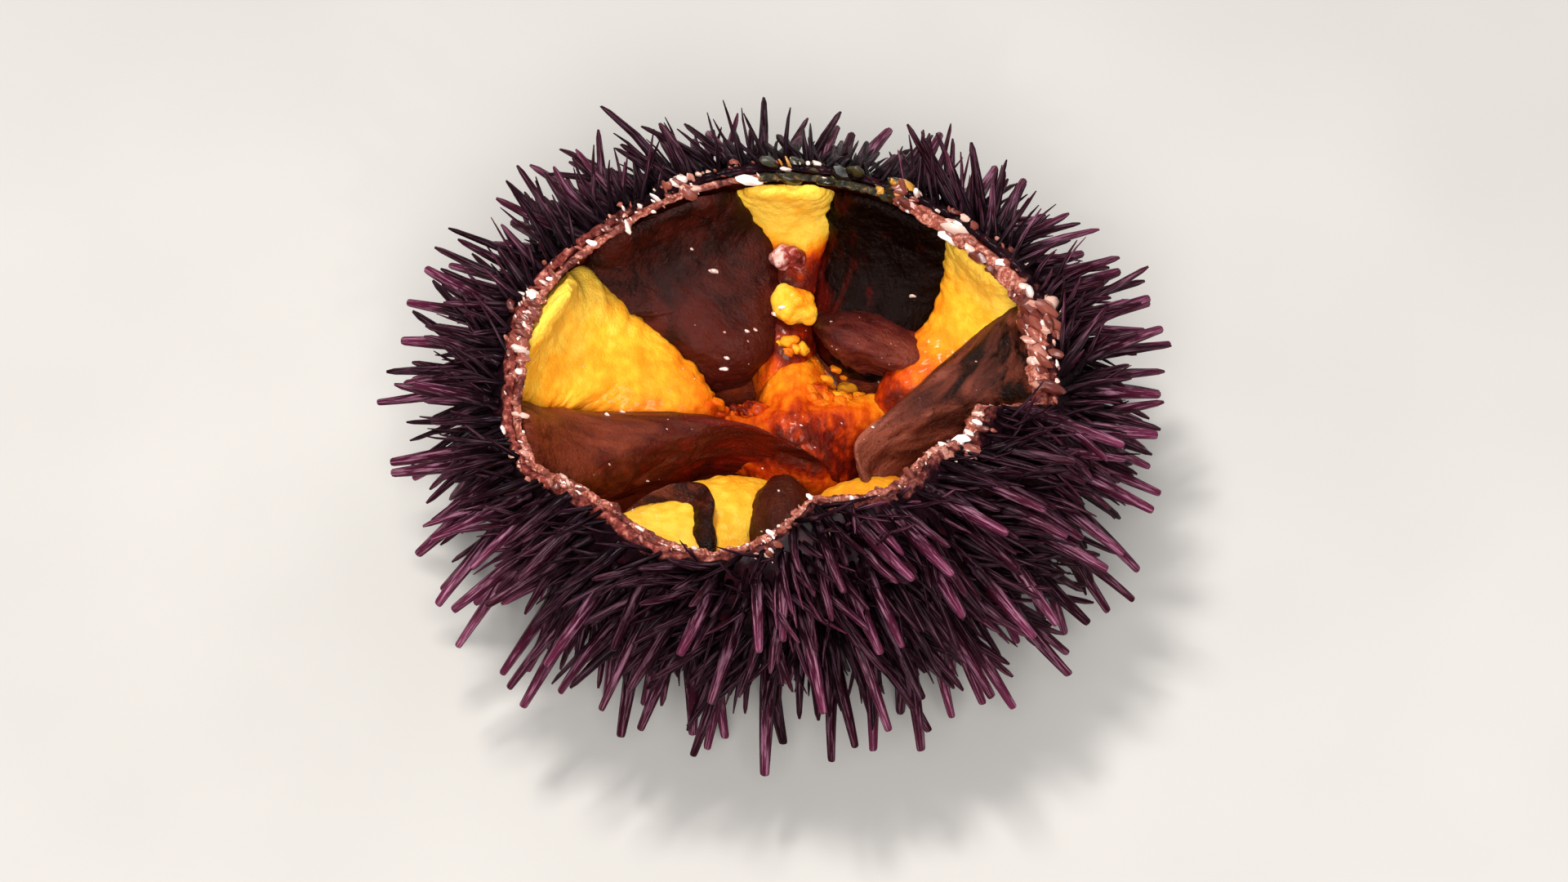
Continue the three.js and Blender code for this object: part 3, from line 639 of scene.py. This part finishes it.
def settled(theta, phi):
    """The patch of skin that a place lies on, and the place moved in from the patch's edges."""
    i = gridded(theta)
    up = SPINE_EDGE / hypot(HALF_WIDTH * sin(phi), HALF_HEIGHT * cos(phi))
    for first, count, bottom, top in PATCHES:
        width = AROUND / count
        at = i if i >= first else i + AROUND
        k = int((at - first) // width)
        left = first + k * width
        low = level(at, bottom) if bottom else -pi
        high = level(at, top) - (radians(SKIN_BELOW) if top == RINGS else 0)
        if low <= phi < high:
            height = min(high - up, max(low + up, phi))
            aside = SPINE_EDGE / (HALF_LENGTH * cos(height)) / 2 / pi * AROUND
            across = at if count == 1 else min(left + width - aside, max(left + aside, at))
            return (bottom, k), line(across), height
    return None


def swirl(root, seed):
    """How neighbouring spines turn together at a place, from -1 to 1."""
    return float(noise(root, BUNCH_SIZE, 90 + seed))


def spine_line(theta, phi, index, share, kind):
    """Root, direction, length and radius of a spine at a share of its length."""
    root, normal = place(theta, phi, 0), outwards(theta, phi)
    around = np.array([-sin(theta), cos(theta), 0])
    degrees, seed = np.degrees(phi), kind.seed
    direction, standing = normal.copy(), 0
    if index > 0:
        combed = float(smooth(COMBED_FROM, COMBED_TO, degrees))
        back = kind.back * combed * cos(theta)
        standing = kind.stand * max(0, sin(theta))
        aside, upward = (kind.swirl * swirl(root, k) for k in (1, 2))
        direction += around * (kind.around * (draw(index, seed + 4) - 0.5) + back + aside)
        up = kind.up * (draw(index, seed + 5) - 0.5) - kind.down * combed * (1 - standing) + upward
        direction += np.cross(normal, around) * up
        direction[2] -= kind.sag
    direction /= norm(direction)
    spread = 1 + kind.length_spread * (draw(index, seed + 6) - 0.5)
    longer = (1 + LONGER_BY * cos(theta - radians(LONGER_AT))) * (1 + LONGER_STANDING * standing)
    length = share * float(along(kind.lengths, degrees)) * longer * spread
    steepest = -(root[2] + PRESSED) / length
    if index > 0 and direction[2] < steepest:
        across = sqrt(1 - steepest * steepest) / hypot(direction[0], direction[1])
        direction = np.array([direction[0] * across, direction[1] * across, steepest])
    radius = kind.radius * (1 + kind.radius_spread * (draw(index, seed + 7) - 0.5))
    return root, direction, length, radius


def clear(spine, roots, axes, radii):
    """Whether a spine keeps a gap to the others, tried at points along it."""
    root, direction, length, radius = spine
    points = root + direction * (np.linspace(0, 1, 9) * length)[:, None]
    to = points[:, None] - roots[None]
    t = np.clip((to * axes).sum(axis=-1) / (axes * axes).sum(axis=-1), 0, 1)
    away = norm(to - t[..., None] * axes, axis=-1)
    return bool((away >= radius + radii + GAP).all())


def long_spines():
    """The spines of the part's solids, and those that they leave no room for."""
    kept, between = [], []
    for theta, phi, index in ring_sites(LONG):
        held = settled(theta, phi)
        if held is None:
            continue
        patch, theta, phi = held
        others = [spine for other, spine, _ in kept if other != patch]
        roots = np.array([spine[0] for spine in others]).reshape(-1, 3)
        axes = np.array([spine[1] * spine[2] for spine in others]).reshape(-1, 3)
        radii = np.array([spine[3] for spine in others])
        tries = (spine_line(theta, phi, index, share, LONG) for share in SHORTER)
        fitting = next((spine for spine in tries if clear(spine, roots, axes, radii)), None)
        if fitting:
            kept.append((patch, fitting, index))
        else:
            between.append((spine_line(theta, phi, index, BETWEEN, LONG), index))
    return [(spine, index) for _, spine, index in kept], between


def small_spines(kind, roots):
    """Spines of a smaller kind all over the skin, away from the given roots."""
    kept = []
    for theta, phi, index in ring_sites(kind):
        if phi > top_edge(gridded(theta)) - radians(kind.below):
            continue
        spine = spine_line(theta, phi, index, 1, kind)
        if norm(roots - spine[0], axis=-1).min() > kind.away:
            kept.append((spine, index))
    return kept


def spine_mesh(name, kind, spines):
    """The spines as one mesh, with how far along its points are, its tint and its lines."""
    shares, added, widths = np.array(kind.profile).T
    turn = turns(kind.sides)
    fluted = 1 - kind.flute_depth * (0.5 + 0.5 * np.cos(turn * kind.flutes))
    bodies, faces, run, tint, local = [], [], [], [], []
    for k, ((root, direction, length, radius), index) in enumerate(spines):
        side = np.cross(direction, [0.3, 0.2, 0.93])
        side /= norm(side)
        other = np.cross(direction, side)
        height = shares * length + added
        reached = np.clip(height / length, 0, 1)
        bent = side * ((draw(index, 9) - 0.5) * 0.6 + swirl(root, 3)) + other * swirl(root, 4)
        middle = root + direction * height[:, None] + kind.bend * bent * (length * reached[:, None] ** 2)
        ring = side * np.cos(turn)[:, None] + other * np.sin(turn)[:, None]
        rows = middle[:, None] + ring[None] * (radius * widths[:, None] * fluted[None])[..., None]
        points, quads = closed(rows)
        points[:, 2] = np.maximum(points[:, 2], 0)
        faces += [[c + len(points) * k for c in face] for face in quads]
        bodies.append(points)
        run.append(np.concatenate([np.repeat(reached, kind.sides), [0, 1]]))
        patchy = min(1, max(0, 0.5 + 0.9 * float(noise(root, SHADE_SIZE, 97))))
        tint.append(np.full(len(points), (0.5 * draw(index, 10) + 0.5 * patchy) ** kind.darkness))
        start = STREAK_STEP * k
        lines = stacked(np.cos(turn)[None], np.sin(turn)[None], STREAK_STRETCH * height[:, None] + start)
        ends = [[0, 0, start], [0, 0, STREAK_STRETCH * length + start]]
        local.append(np.concatenate([lines.reshape(-1, 3), ends]))
    piece = mesh_object(name, np.concatenate(bodies), faces)
    give(piece, "run", np.concatenate(run))
    give(piece, "tint", np.concatenate(tint))
    streaks = piece.data.attributes.new("local", "FLOAT_VECTOR", "POINT")
    streaks.data.foreach_set("vector", np.concatenate(local).astype(np.float32).ravel())
    return piece


def make_spines(nodes):
    """The long spines, which stand for the nodes, and smaller ones in between."""
    shader = spine_material()
    kept, between = long_spines()
    spines = kept + between
    finished(spine_mesh("spines_long", LONG, spines), "spines", shader, *nodes, sharp=75)
    roots = np.array([spine[0] for spine, _ in spines])
    for name, kind in (("spines_short", SHORT), ("spines_fine", FINE)):
        spines = small_spines(kind, roots)
        finished(spine_mesh(name, kind, spines), "spines", shader, sharp=75)
        roots = np.concatenate([roots, [spine[0] for spine, _ in spines]])


# ---------------- contents
def run_through(rows, t):
    """A smooth run through the rows of a table, at shares t of the way."""
    rows = np.array(rows, float)
    at = t * (len(rows) - 1)
    i = np.minimum(len(rows) - 2, np.floor(at)).astype(int)
    padded = np.concatenate([[2 * rows[0] - rows[1]], rows, [2 * rows[-1] - rows[-2]]])
    a, b, c, d = (padded[i + k] for k in range(4))
    x = (at - i)[:, None]
    return b + x / 2 * (c - a + x * (2 * a - 5 * b + 4 * c - d + x * (3 * (b - c) + d - a)))


def chart(theta, phi):
    """A flat map of the bowl round its lowest point, in degrees."""
    return (phi + 90) * cos(radians(theta)), (phi + 90) * sin(radians(theta))


def off_chart(u, v, rise):
    """The place at a point of the map, above the contents' bed."""
    return place(np.arctan2(v, u), np.radians(np.hypot(u, v) - 90), CONTENTS + rise)


def chart_scale(u, v, direction):
    """Millimetres to a degree of the map, in a direction on it."""
    away = np.radians(np.maximum(1e-3, np.hypot(u, v)))
    radial = np.hypot(HALF_WIDTH * np.cos(away), HALF_HEIGHT * np.sin(away))
    around = HALF_WIDTH * np.sin(away) / away
    lean = direction - np.arctan2(v, u)
    return np.radians(1) * np.hypot(radial * np.cos(lean), around * np.sin(lean))


def pad_rows(table, grow, lengthwise, columns, wavy, seed):
    """A pad's surface from its table, larger by grow, its edges wandering by the share wavy."""
    rows = [[*chart(theta, phi), half, thick] for theta, phi, half, thick in table]
    t = 0.5 - 0.5 * np.cos(pi * (np.arange(lengthwise) + 0.5) / lengthwise)
    end = 2 * t - 1
    u, v, half, thick = run_through(rows, t).T
    u0, v0 = run_through(rows, np.maximum(0, t - 0.02)).T[:2]
    u1, v1 = run_through(rows, np.minimum(1, t + 0.02)).T[:2]
    ahead = np.arctan2(v1 - v0, u1 - u0)
    aside = ahead + pi / 2
    rounded = (1 - np.abs(end) ** 3) ** (1 / 3)
    turn = turns(columns)
    front = np.sin(turn)[None]
    u, v, half, thick, end, ahead, aside, rounded = (
        a[:, None] for a in (u, v, half, thick, end, ahead, aside, rounded))
    edge = stacked(t * 9, seed, 0)[:, None]
    left, right = (noise(e, 1, seed) + 0.6 * noise(e, 0.4, seed + 1) + 0.4 * noise(e, 0.17, seed + 2)
                   for e in (edge, edge + 50))
    waves = 1 + wavy * np.where(np.cos(turn)[None] > 0, left, right)
    across = np.cos(turn)[None] * rounded * (half + grow) * waves / chart_scale(u, v, aside)
    onward = grow * end / chart_scale(u, v, ahead)
    crown = np.maximum(front, 0) ** 0.7
    rise = rounded * np.where(front > 0, (thick + grow) * crown, grow * front)
    return off_chart(u + across * np.cos(aside) + onward * np.cos(ahead),
                     v + across * np.sin(aside) + onward * np.sin(ahead), rise)


def star_rows(grow, lengthwise, columns):
    theta = turns(columns)
    slope = (np.arange(lengthwise) + 0.5) / lengthwise * pi
    away = [(theta - radians(at) + pi) % (2 * pi) - pi for at, _ in STAR_POINTS]
    points = [reach * np.exp(-((turn / radians(STAR["half"])) ** 2))
              for turn, (_, reach) in zip(away, STAR_POINTS)]
    reach = (STAR["inner"] + np.max(points, axis=0) + grow)[None] * np.sin(slope)[:, None]
    height = np.where(np.cos(slope) > 0, STAR["height"] + grow, grow)[:, None]
    x = (STAR["x"] + reach * np.cos(theta)) / HALF_WIDTH
    y = (STAR["y"] + reach * np.sin(theta)) / HALF_LENGTH
    return place(np.arctan2(y, x), -np.arccos(np.hypot(x, y)), CONTENTS + height * np.cos(slope)[:, None])


def grained(rows, seed, lump=0.34, grain=0.17, fine=0.07):
    """Roe's surface: soft undulations, grains, and finer grains on them."""
    height = lump * noise(rows, 3.6, seed) + grain * (grains(rows, 1.4, seed) - 0.4)
    return raised(rows, height + fine * (grains(rows, 0.6, seed + 5) - 0.4))


def folded(rows, seed, look, swell=0.4, wrinkle=0.22):
    """Gut's surface: soft swellings, and wrinkles drawn out along its streaks."""
    way = radians(look.way)
    x, y, z = np.moveaxis(rows, -1, 0)
    drawn_out = stacked((x * cos(way) + y * sin(way)) / look.stretch, y * cos(way) - x * sin(way), z)
    height = swell * noise(rows, 5, seed) + wrinkle * noise(drawn_out, 1.5, seed + 1)
    return raised(rows, height + 0.4 * wrinkle * noise(drawn_out, 0.6, seed + 2))


def lump_rows(lump, grow, lengthwise, columns):
    theta, phi, lift, half = lump
    middle = place(radians(theta), radians(phi), CONTENTS + lift)
    slope = ((np.arange(lengthwise) + 0.5) / lengthwise * pi)[:, None]
    turn = turns(columns)[None]
    unit = stacked(np.sin(slope) * np.cos(turn), np.sin(slope) * np.sin(turn), np.cos(slope))
    bulge = 1 + 0.16 * np.sin(4 * unit[..., 0] + 1) * np.cos(3 * unit[..., 1])
    return middle + unit * (np.array(half) + grow) * bulge[..., None]


def cut(piece, others):
    for other in others:
        modifier = piece.modifiers.new("cut", "BOOLEAN")
        modifier.operation, modifier.solver, modifier.object = "DIFFERENCE", "MANIFOLD", other
    bpy.context.view_layer.update()
    made = bpy.data.meshes.new_from_object(piece.evaluated_get(bpy.context.evaluated_depsgraph_get()))
    piece.modifiers.clear()
    piece.data = made
    keep_largest(made)


def keep_largest(mesh):
    work = bmesh.new()
    work.from_mesh(mesh)
    left, largest = set(work.verts), []
    while left:
        body = [left.pop()]
        for v in body:
            beside = {edge.other_vert(v) for edge in v.link_edges} & left
            left -= beside
            body += beside
        largest = max(largest, body, key=len)
    bmesh.ops.delete(work, geom=list(set(work.verts) - set(largest)), context="VERTS")
    work.to_mesh(mesh)
    work.free()


# Each tongue's pale and deep place, as (x, y, z) in millimetres, and how deep its colour is at each. The back
# tongue goes by its film instead.
ROE_DEPTHS = [
    None,
    ((-26, 14, 30), (-12, -4, 11), -0.16, 0.76),
    ((-16, -16, 24), (4, -4, 12), 0.02, 0.3),
    ((20, -22, 30), (4, -6, 12), 0.04, 0.34),
    ((28, 12, 28), (11, 6, 16), -0.26, 0.85),
]
# The back tongue is yellow near the rim, with a dark red film over the rest: depth of colour by phi, which
# rises this many degrees on both sides of the film's middle line at a reach from it.
ROE_FILM = [(-76, 0.66), (-60, 0.8), (-52, 0.93), (-24, 0.98), (-18, 0.78), (-13, 0.24), (-8, 0)]
FILM_AT, FILM_REACH, FILM_RISE = 84, 14, 14
# Redder and paler parts of the star: x and y, their reach along both, in mm, and the change of depth.
STAR_DEPTH, STAR_DEEPEST = 0.67, 0.97
# The last patch, paler at the star's near foot, is painted light where gut_3's shadow falls.
STAR_PATCHES = [(3, -0.8, 6.6, 3.4, 0.42), (2.5, 9.5, 5, 4, -0.16), (13, 7.5, 3.6, 3.2, -0.5),
                (-1, -6.2, 8, 3, -0.6)]

# Each gut's colours, the way its streaks run in degrees round +Z, how drawn out and how far apart they are,
# where it is darkest and lightest, in degrees of theta and phi, and how much of a wet coat it has.
Look = namedtuple("Look", "dark middle light way stretch size low high gloss", defaults=[0.22])
GUT_LOOKS = [
    Look((30, 6, 4), (66, 19, 13), (74, 22, 13), 120, 2, 3.4, (112, 10), (112, -60)),
    # gut_2 is near black, partly its own dark colour and partly painted shade of the hollow where it lies.
    Look((2, 0, 0), (6, 1, 1), (70, 8, 4), 70, 3, 3, (50, 0), (82, -52), gloss=0.1),
    Look((112, 20, 6), (62, 15, 7), (108, 44, 24), -8, 4.5, 2.6, (240, -88), (192, -10)),
    # gut_4's pale greyish light colour on its lower band is partly its own tone and partly painted highlight.
    Look((16, 4, 2), (100, 46, 34), (150, 82, 64), 38, 4, 2.4, (12, -8), (345, -66)),
    Look((24, 6, 3), (48, 14, 7), (70, 24, 13), 90, 2.5, 2.6, (270, 20), (270, -70)),
    Look((50, 12, 10), (86, 30, 25), (116, 52, 38), -20, 3, 2, (70, -40), (30, -60)),
    Look((14, 3, 2), (44, 12, 8), (104, 46, 30), -30, 3, 2, (240, -40), (208, -43)),
]
# The shred is red; the near-white light colour at its upper end is a painted highlight.
SHRED_LOOK = Look((74, 14, 10), (150, 52, 44), (236, 190, 180), 0, 1, 1.2, (80, -25), (95, -15))

# Pale lumps on the contents, partly crumbs and partly painted glints of wet: places in degrees of theta and
# phi, and half sizes in mm.
CRUMBS_AND_GLINTS = [(109, -8, 0.45), (105, -41, 0.3), (101, -41, 0.3), (122, -53, 0.45), (119, -50, 0.32),
          (46, -48, 0.45), (176, -22, 0.34), (171, -32, 0.44), (113, 1, 0.26),
          (50, -12, 0.34), (89, -30, 0.4), (92, -34, 0.34)]
FINE_CRUMBS_AND_GLINTS = 90
# Heaps of loose roe: place and reach in degrees, how many granules, and their depth of colour.
ROE_HEAPS = [(132, -65, 8, 16, 0.5), (50, -61, 10, 26, 0.36), (85, -48, 6, 10, 0.2), (62, -54, 6, 8, 0.3),
             (120, -70, 8, 34, 0.7), (58, -66, 7, 20, 0.5)]


def between(points, low, high):
    """How far points lie along the way from low to high, from 0 to 1."""
    low, high = np.array(low, float), np.array(high, float)
    way = high - low
    return np.clip((points - low) @ way / (way @ way), 0, 1)


def angles_of(points):
    """The degrees of theta and phi at which points lie, whatever their depth."""
    x, y, z = (points - (0, 0, MIDDLE_Z)).T / np.array([HALF_WIDTH, HALF_LENGTH, HALF_HEIGHT])[:, None]
    return np.degrees(np.arctan2(y, x)), np.degrees(np.arctan2(z, np.hypot(x, y)))


def film_depth(points):
    theta, phi = angles_of(points)
    return along(ROE_FILM, phi - FILM_RISE * ((theta - FILM_AT) / FILM_REACH) ** 2)


def roe_depth(points, pale, deep, least, most):
    return least + (most - least) * between(points, pale, deep) ** 1.15


def star_depth(points):
    depth = STAR_DEPTH
    for x, y, reach_x, reach_y, change in STAR_PATCHES:
        away = ((points[:, 0] - x) / reach_x) ** 2 + ((points[:, 1] - y) / reach_y) ** 2
        depth = depth + change * np.exp(-away)
    return np.minimum(depth, STAR_DEEPEST)


def gut_depth(points, look):
    low, high = (place(radians(theta), radians(phi), CONTENTS + 7)
                 for theta, phi in (look.low, look.high))
    return between(points, low, high)


def make_contents(roe):
    """Star, tongues, guts, scrap and shred, each cut by those before it with a little room."""
    taken, pieces = [], []

    def lay(name, rows, room, material, depth):
        piece = mesh_object(name + "_piece", *closed(rows))
        if taken:
            cut(piece, taken)
        taken.append(mesh_object(name + "_room", *closed(room)))
        give(piece, "deep", depth(points_of(piece)))
        slot = name.split("_")[0]
        pieces.append(finished(piece, slot, material, name))

    star = [grained(star_rows(grow, 90, 200), 3) for grow in (0, ROOM)]
    lay("roe_star", *star, roe_material("roe_star", 0.08), star_depth)
    for k, (table, depths) in enumerate(zip(ROE, ROE_DEPTHS)):
        pad = [grained(pad_rows(table, grow, 130, 170, 0.1, 7 + k), 20 + k) for grow in (0, ROOM)]
        lay(f"roe_{k + 1}", *pad, roe, lambda p: roe_depth(p, *depths) if depths else film_depth(p))
    for k, (table, look) in enumerate(zip(GUT, GUT_LOOKS)):
        swell = 0.14 if table[0][2] < 2 else 0.4  # less where it starts as a thin strand
        pad = [folded(pad_rows(table, grow, 130, 140, 0.07, 27 + k), 40 + k, look, swell)
               for grow in (0, ROOM)]
        name = f"gut_{k + 1}"
        lay(name, *pad, gut_material(name, look), lambda p: gut_depth(p, look))
    scrap = grained(lump_rows(SCRAP, 0, 50, 80), 61, 0.7, 0.3)
    lay("roe_scrap", scrap, lump_rows(SCRAP, ROOM, 40, 60), roe, lambda p: 0.2 + 0.25 * noise(p, 2, 4))
    shred = folded(lump_rows(SHRED, 0, 40, 60), 66, SHRED_LOOK, 0.5, 0.4)
    lay("gut_shred", shred, lump_rows(SHRED, ROOM, 40, 60), gut_material("gut_shred", SHRED_LOOK),
        lambda p: gut_depth(p, SHRED_LOOK))
    for block in taken:
        bpy.data.objects.remove(block)
    return pieces


# Pale pink to white lumps: partly crumbs, partly painted glints of wet.
def crumb_and_glint_material():
    s = Shader("crumbs", coat=(0.6, 0.08), depth=(0.3, (1, 0.6, 0.5), 0.5))
    body = s.ramp(s.noise(0.5), (0.35, (206, 150, 138)), (0.65, (250, 232, 224)))
    return s.finish(colour=body, roughness=s.vary(0.4, 0.2, 0.4))


def laid(table, pieces):
    """Where rows of (theta, phi, half size, ...) in degrees lie on the pieces: places and rows."""
    trees = [BVHTree.FromObject(piece, bpy.context.evaluated_depsgraph_get()) for piece in pieces]
    middles, rows = [], []
    for row in table:
        theta, phi = radians(row[0]), radians(row[1])
        above = Vector(place(theta, phi, CONTENTS + 14) * MM)
        hits = [tree.ray_cast(above, Vector(outwards(theta, phi))) for tree in trees]
        near = min((hit for hit in hits if hit[0]), key=lambda hit: hit[3], default=None)
        if near:
            middles.append(np.array(near[0]) / MM)
            rows.append(row)
    return middles, rows


def make_crumbs_and_glints(pieces, roe):
    """Granules of roe, and pale lumps that are partly crumbs and partly painted glints of wet, with finer
    ones strewn about.
    """
    granules = []
    for at, (theta, phi, reach, count, deep) in enumerate(ROE_HEAPS):
        for k in range(count):
            aside, up, size, shade = draw(k, at + np.arange(4))
            granules.append((theta + reach * 2 * (aside - 0.5), phi + reach * (up - 0.5),
                             0.3 + 0.6 * size, deep + 0.3 * shade))
    middles, rows = laid(granules, pieces)
    points, faces, each = lumps(middles, [row[2] * np.array([1.2, 1, 0.8]) for row in rows], 95, 3)
    scraps = mesh_object("roe_scraps", points, faces)
    give(scraps, "deep", np.repeat([row[3] for row in rows], each))
    finished(scraps, "roe", roe)
    fine = [(360 * draw(k, 71), -84 + 76 * draw(k, 72) ** 0.8, 0.07 + 0.14 * draw(k, 73) ** 3)
            for k in range(FINE_CRUMBS_AND_GLINTS)]
    middles, rows = laid(CRUMBS_AND_GLINTS + fine, pieces)
    points, faces, _ = lumps(middles, [row[2] * np.array([1.1, 0.75, 0.55]) for row in rows], 81)
    finished(mesh_object("crumbs", points, faces), "test", crumb_and_glint_material(), sharp=40)


# ---------------- stage
def make_stage():
    bpy.ops.mesh.primitive_plane_add(size=3)
    floor = bpy.context.object
    floor.name = "floor"
    s = Shader("floor", specular=0.3)
    tone = s.ramp(s.noise(60, detail=2), (0.3, (180, 177, 173)), (0.7, (187, 184, 180)))
    floor.data.materials.append(s.finish(colour=tone, roughness=s.vary(20, 0.6, 0.8)))


def area_light(name, place_m, size, power, colour):
    data = bpy.data.lights.new(name, "AREA")
    data.shape, data.size, data.energy, data.color = "DISK", size, power, colour
    light = linked(name, data)
    light.location = place_m
    sight = Vector((0, 0, 0.02)) - light.location
    light.rotation_euler = sight.to_track_quat("-Z", "Y").to_euler()


def make_lights():
    area_light("key", (-0.14, 0.14, 0.60), 0.13, 3.3, (1, 0.97, 0.93))
    area_light("fill", (-0.02, -0.40, 0.47), 0.3, 3.9, (1, 0.98, 0.96))
    area_light("glint", (0.10, -0.60, 0.36), 0.025, 0.5, (1, 1, 1))
    area_light("back", (0.30, 0.50, 0.30), 0.2, 0.7, (1, 1, 1))
    world = bpy.data.worlds.new("studio")
    world.use_nodes = True
    background = world.node_tree.nodes["Background"]
    background.inputs["Color"].default_value = (0.9, 0.93, 1, 1)
    background.inputs["Strength"].default_value = 0.24
    bpy.context.scene.world = world
    bpy.context.scene.view_settings.view_transform = "Standard"


def make_camera():
    elevation, turn, distance = radians(53.66), radians(1.7), 0.466
    rim_middle, aim = Vector((0, 0, 0.029)), Vector((0, 0, 0.014))
    sight = Vector((sin(turn) * cos(elevation), cos(turn) * cos(elevation), -sin(elevation)))
    data = bpy.data.cameras.new("camera")
    data.sensor_width, data.lens, data.clip_start, data.clip_end = 36, 98, 0.01, 20
    camera = linked("camera", data)
    camera.location = rim_middle - sight * distance
    camera.rotation_euler = (aim - camera.location).to_track_quat("-Z", "Y").to_euler()
    bpy.context.scene.camera = camera


make_camera()
make_stage()
make_lights()
spine_nodes = sorted(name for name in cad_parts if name.startswith("spines"))
shell = make_test()
roe = roe_material("roe", 0.03)
make_skin(spine_nodes)
make_rim_grains()
make_spines(spine_nodes)
make_crumbs_and_glints(make_contents(roe) + [shell], roe)
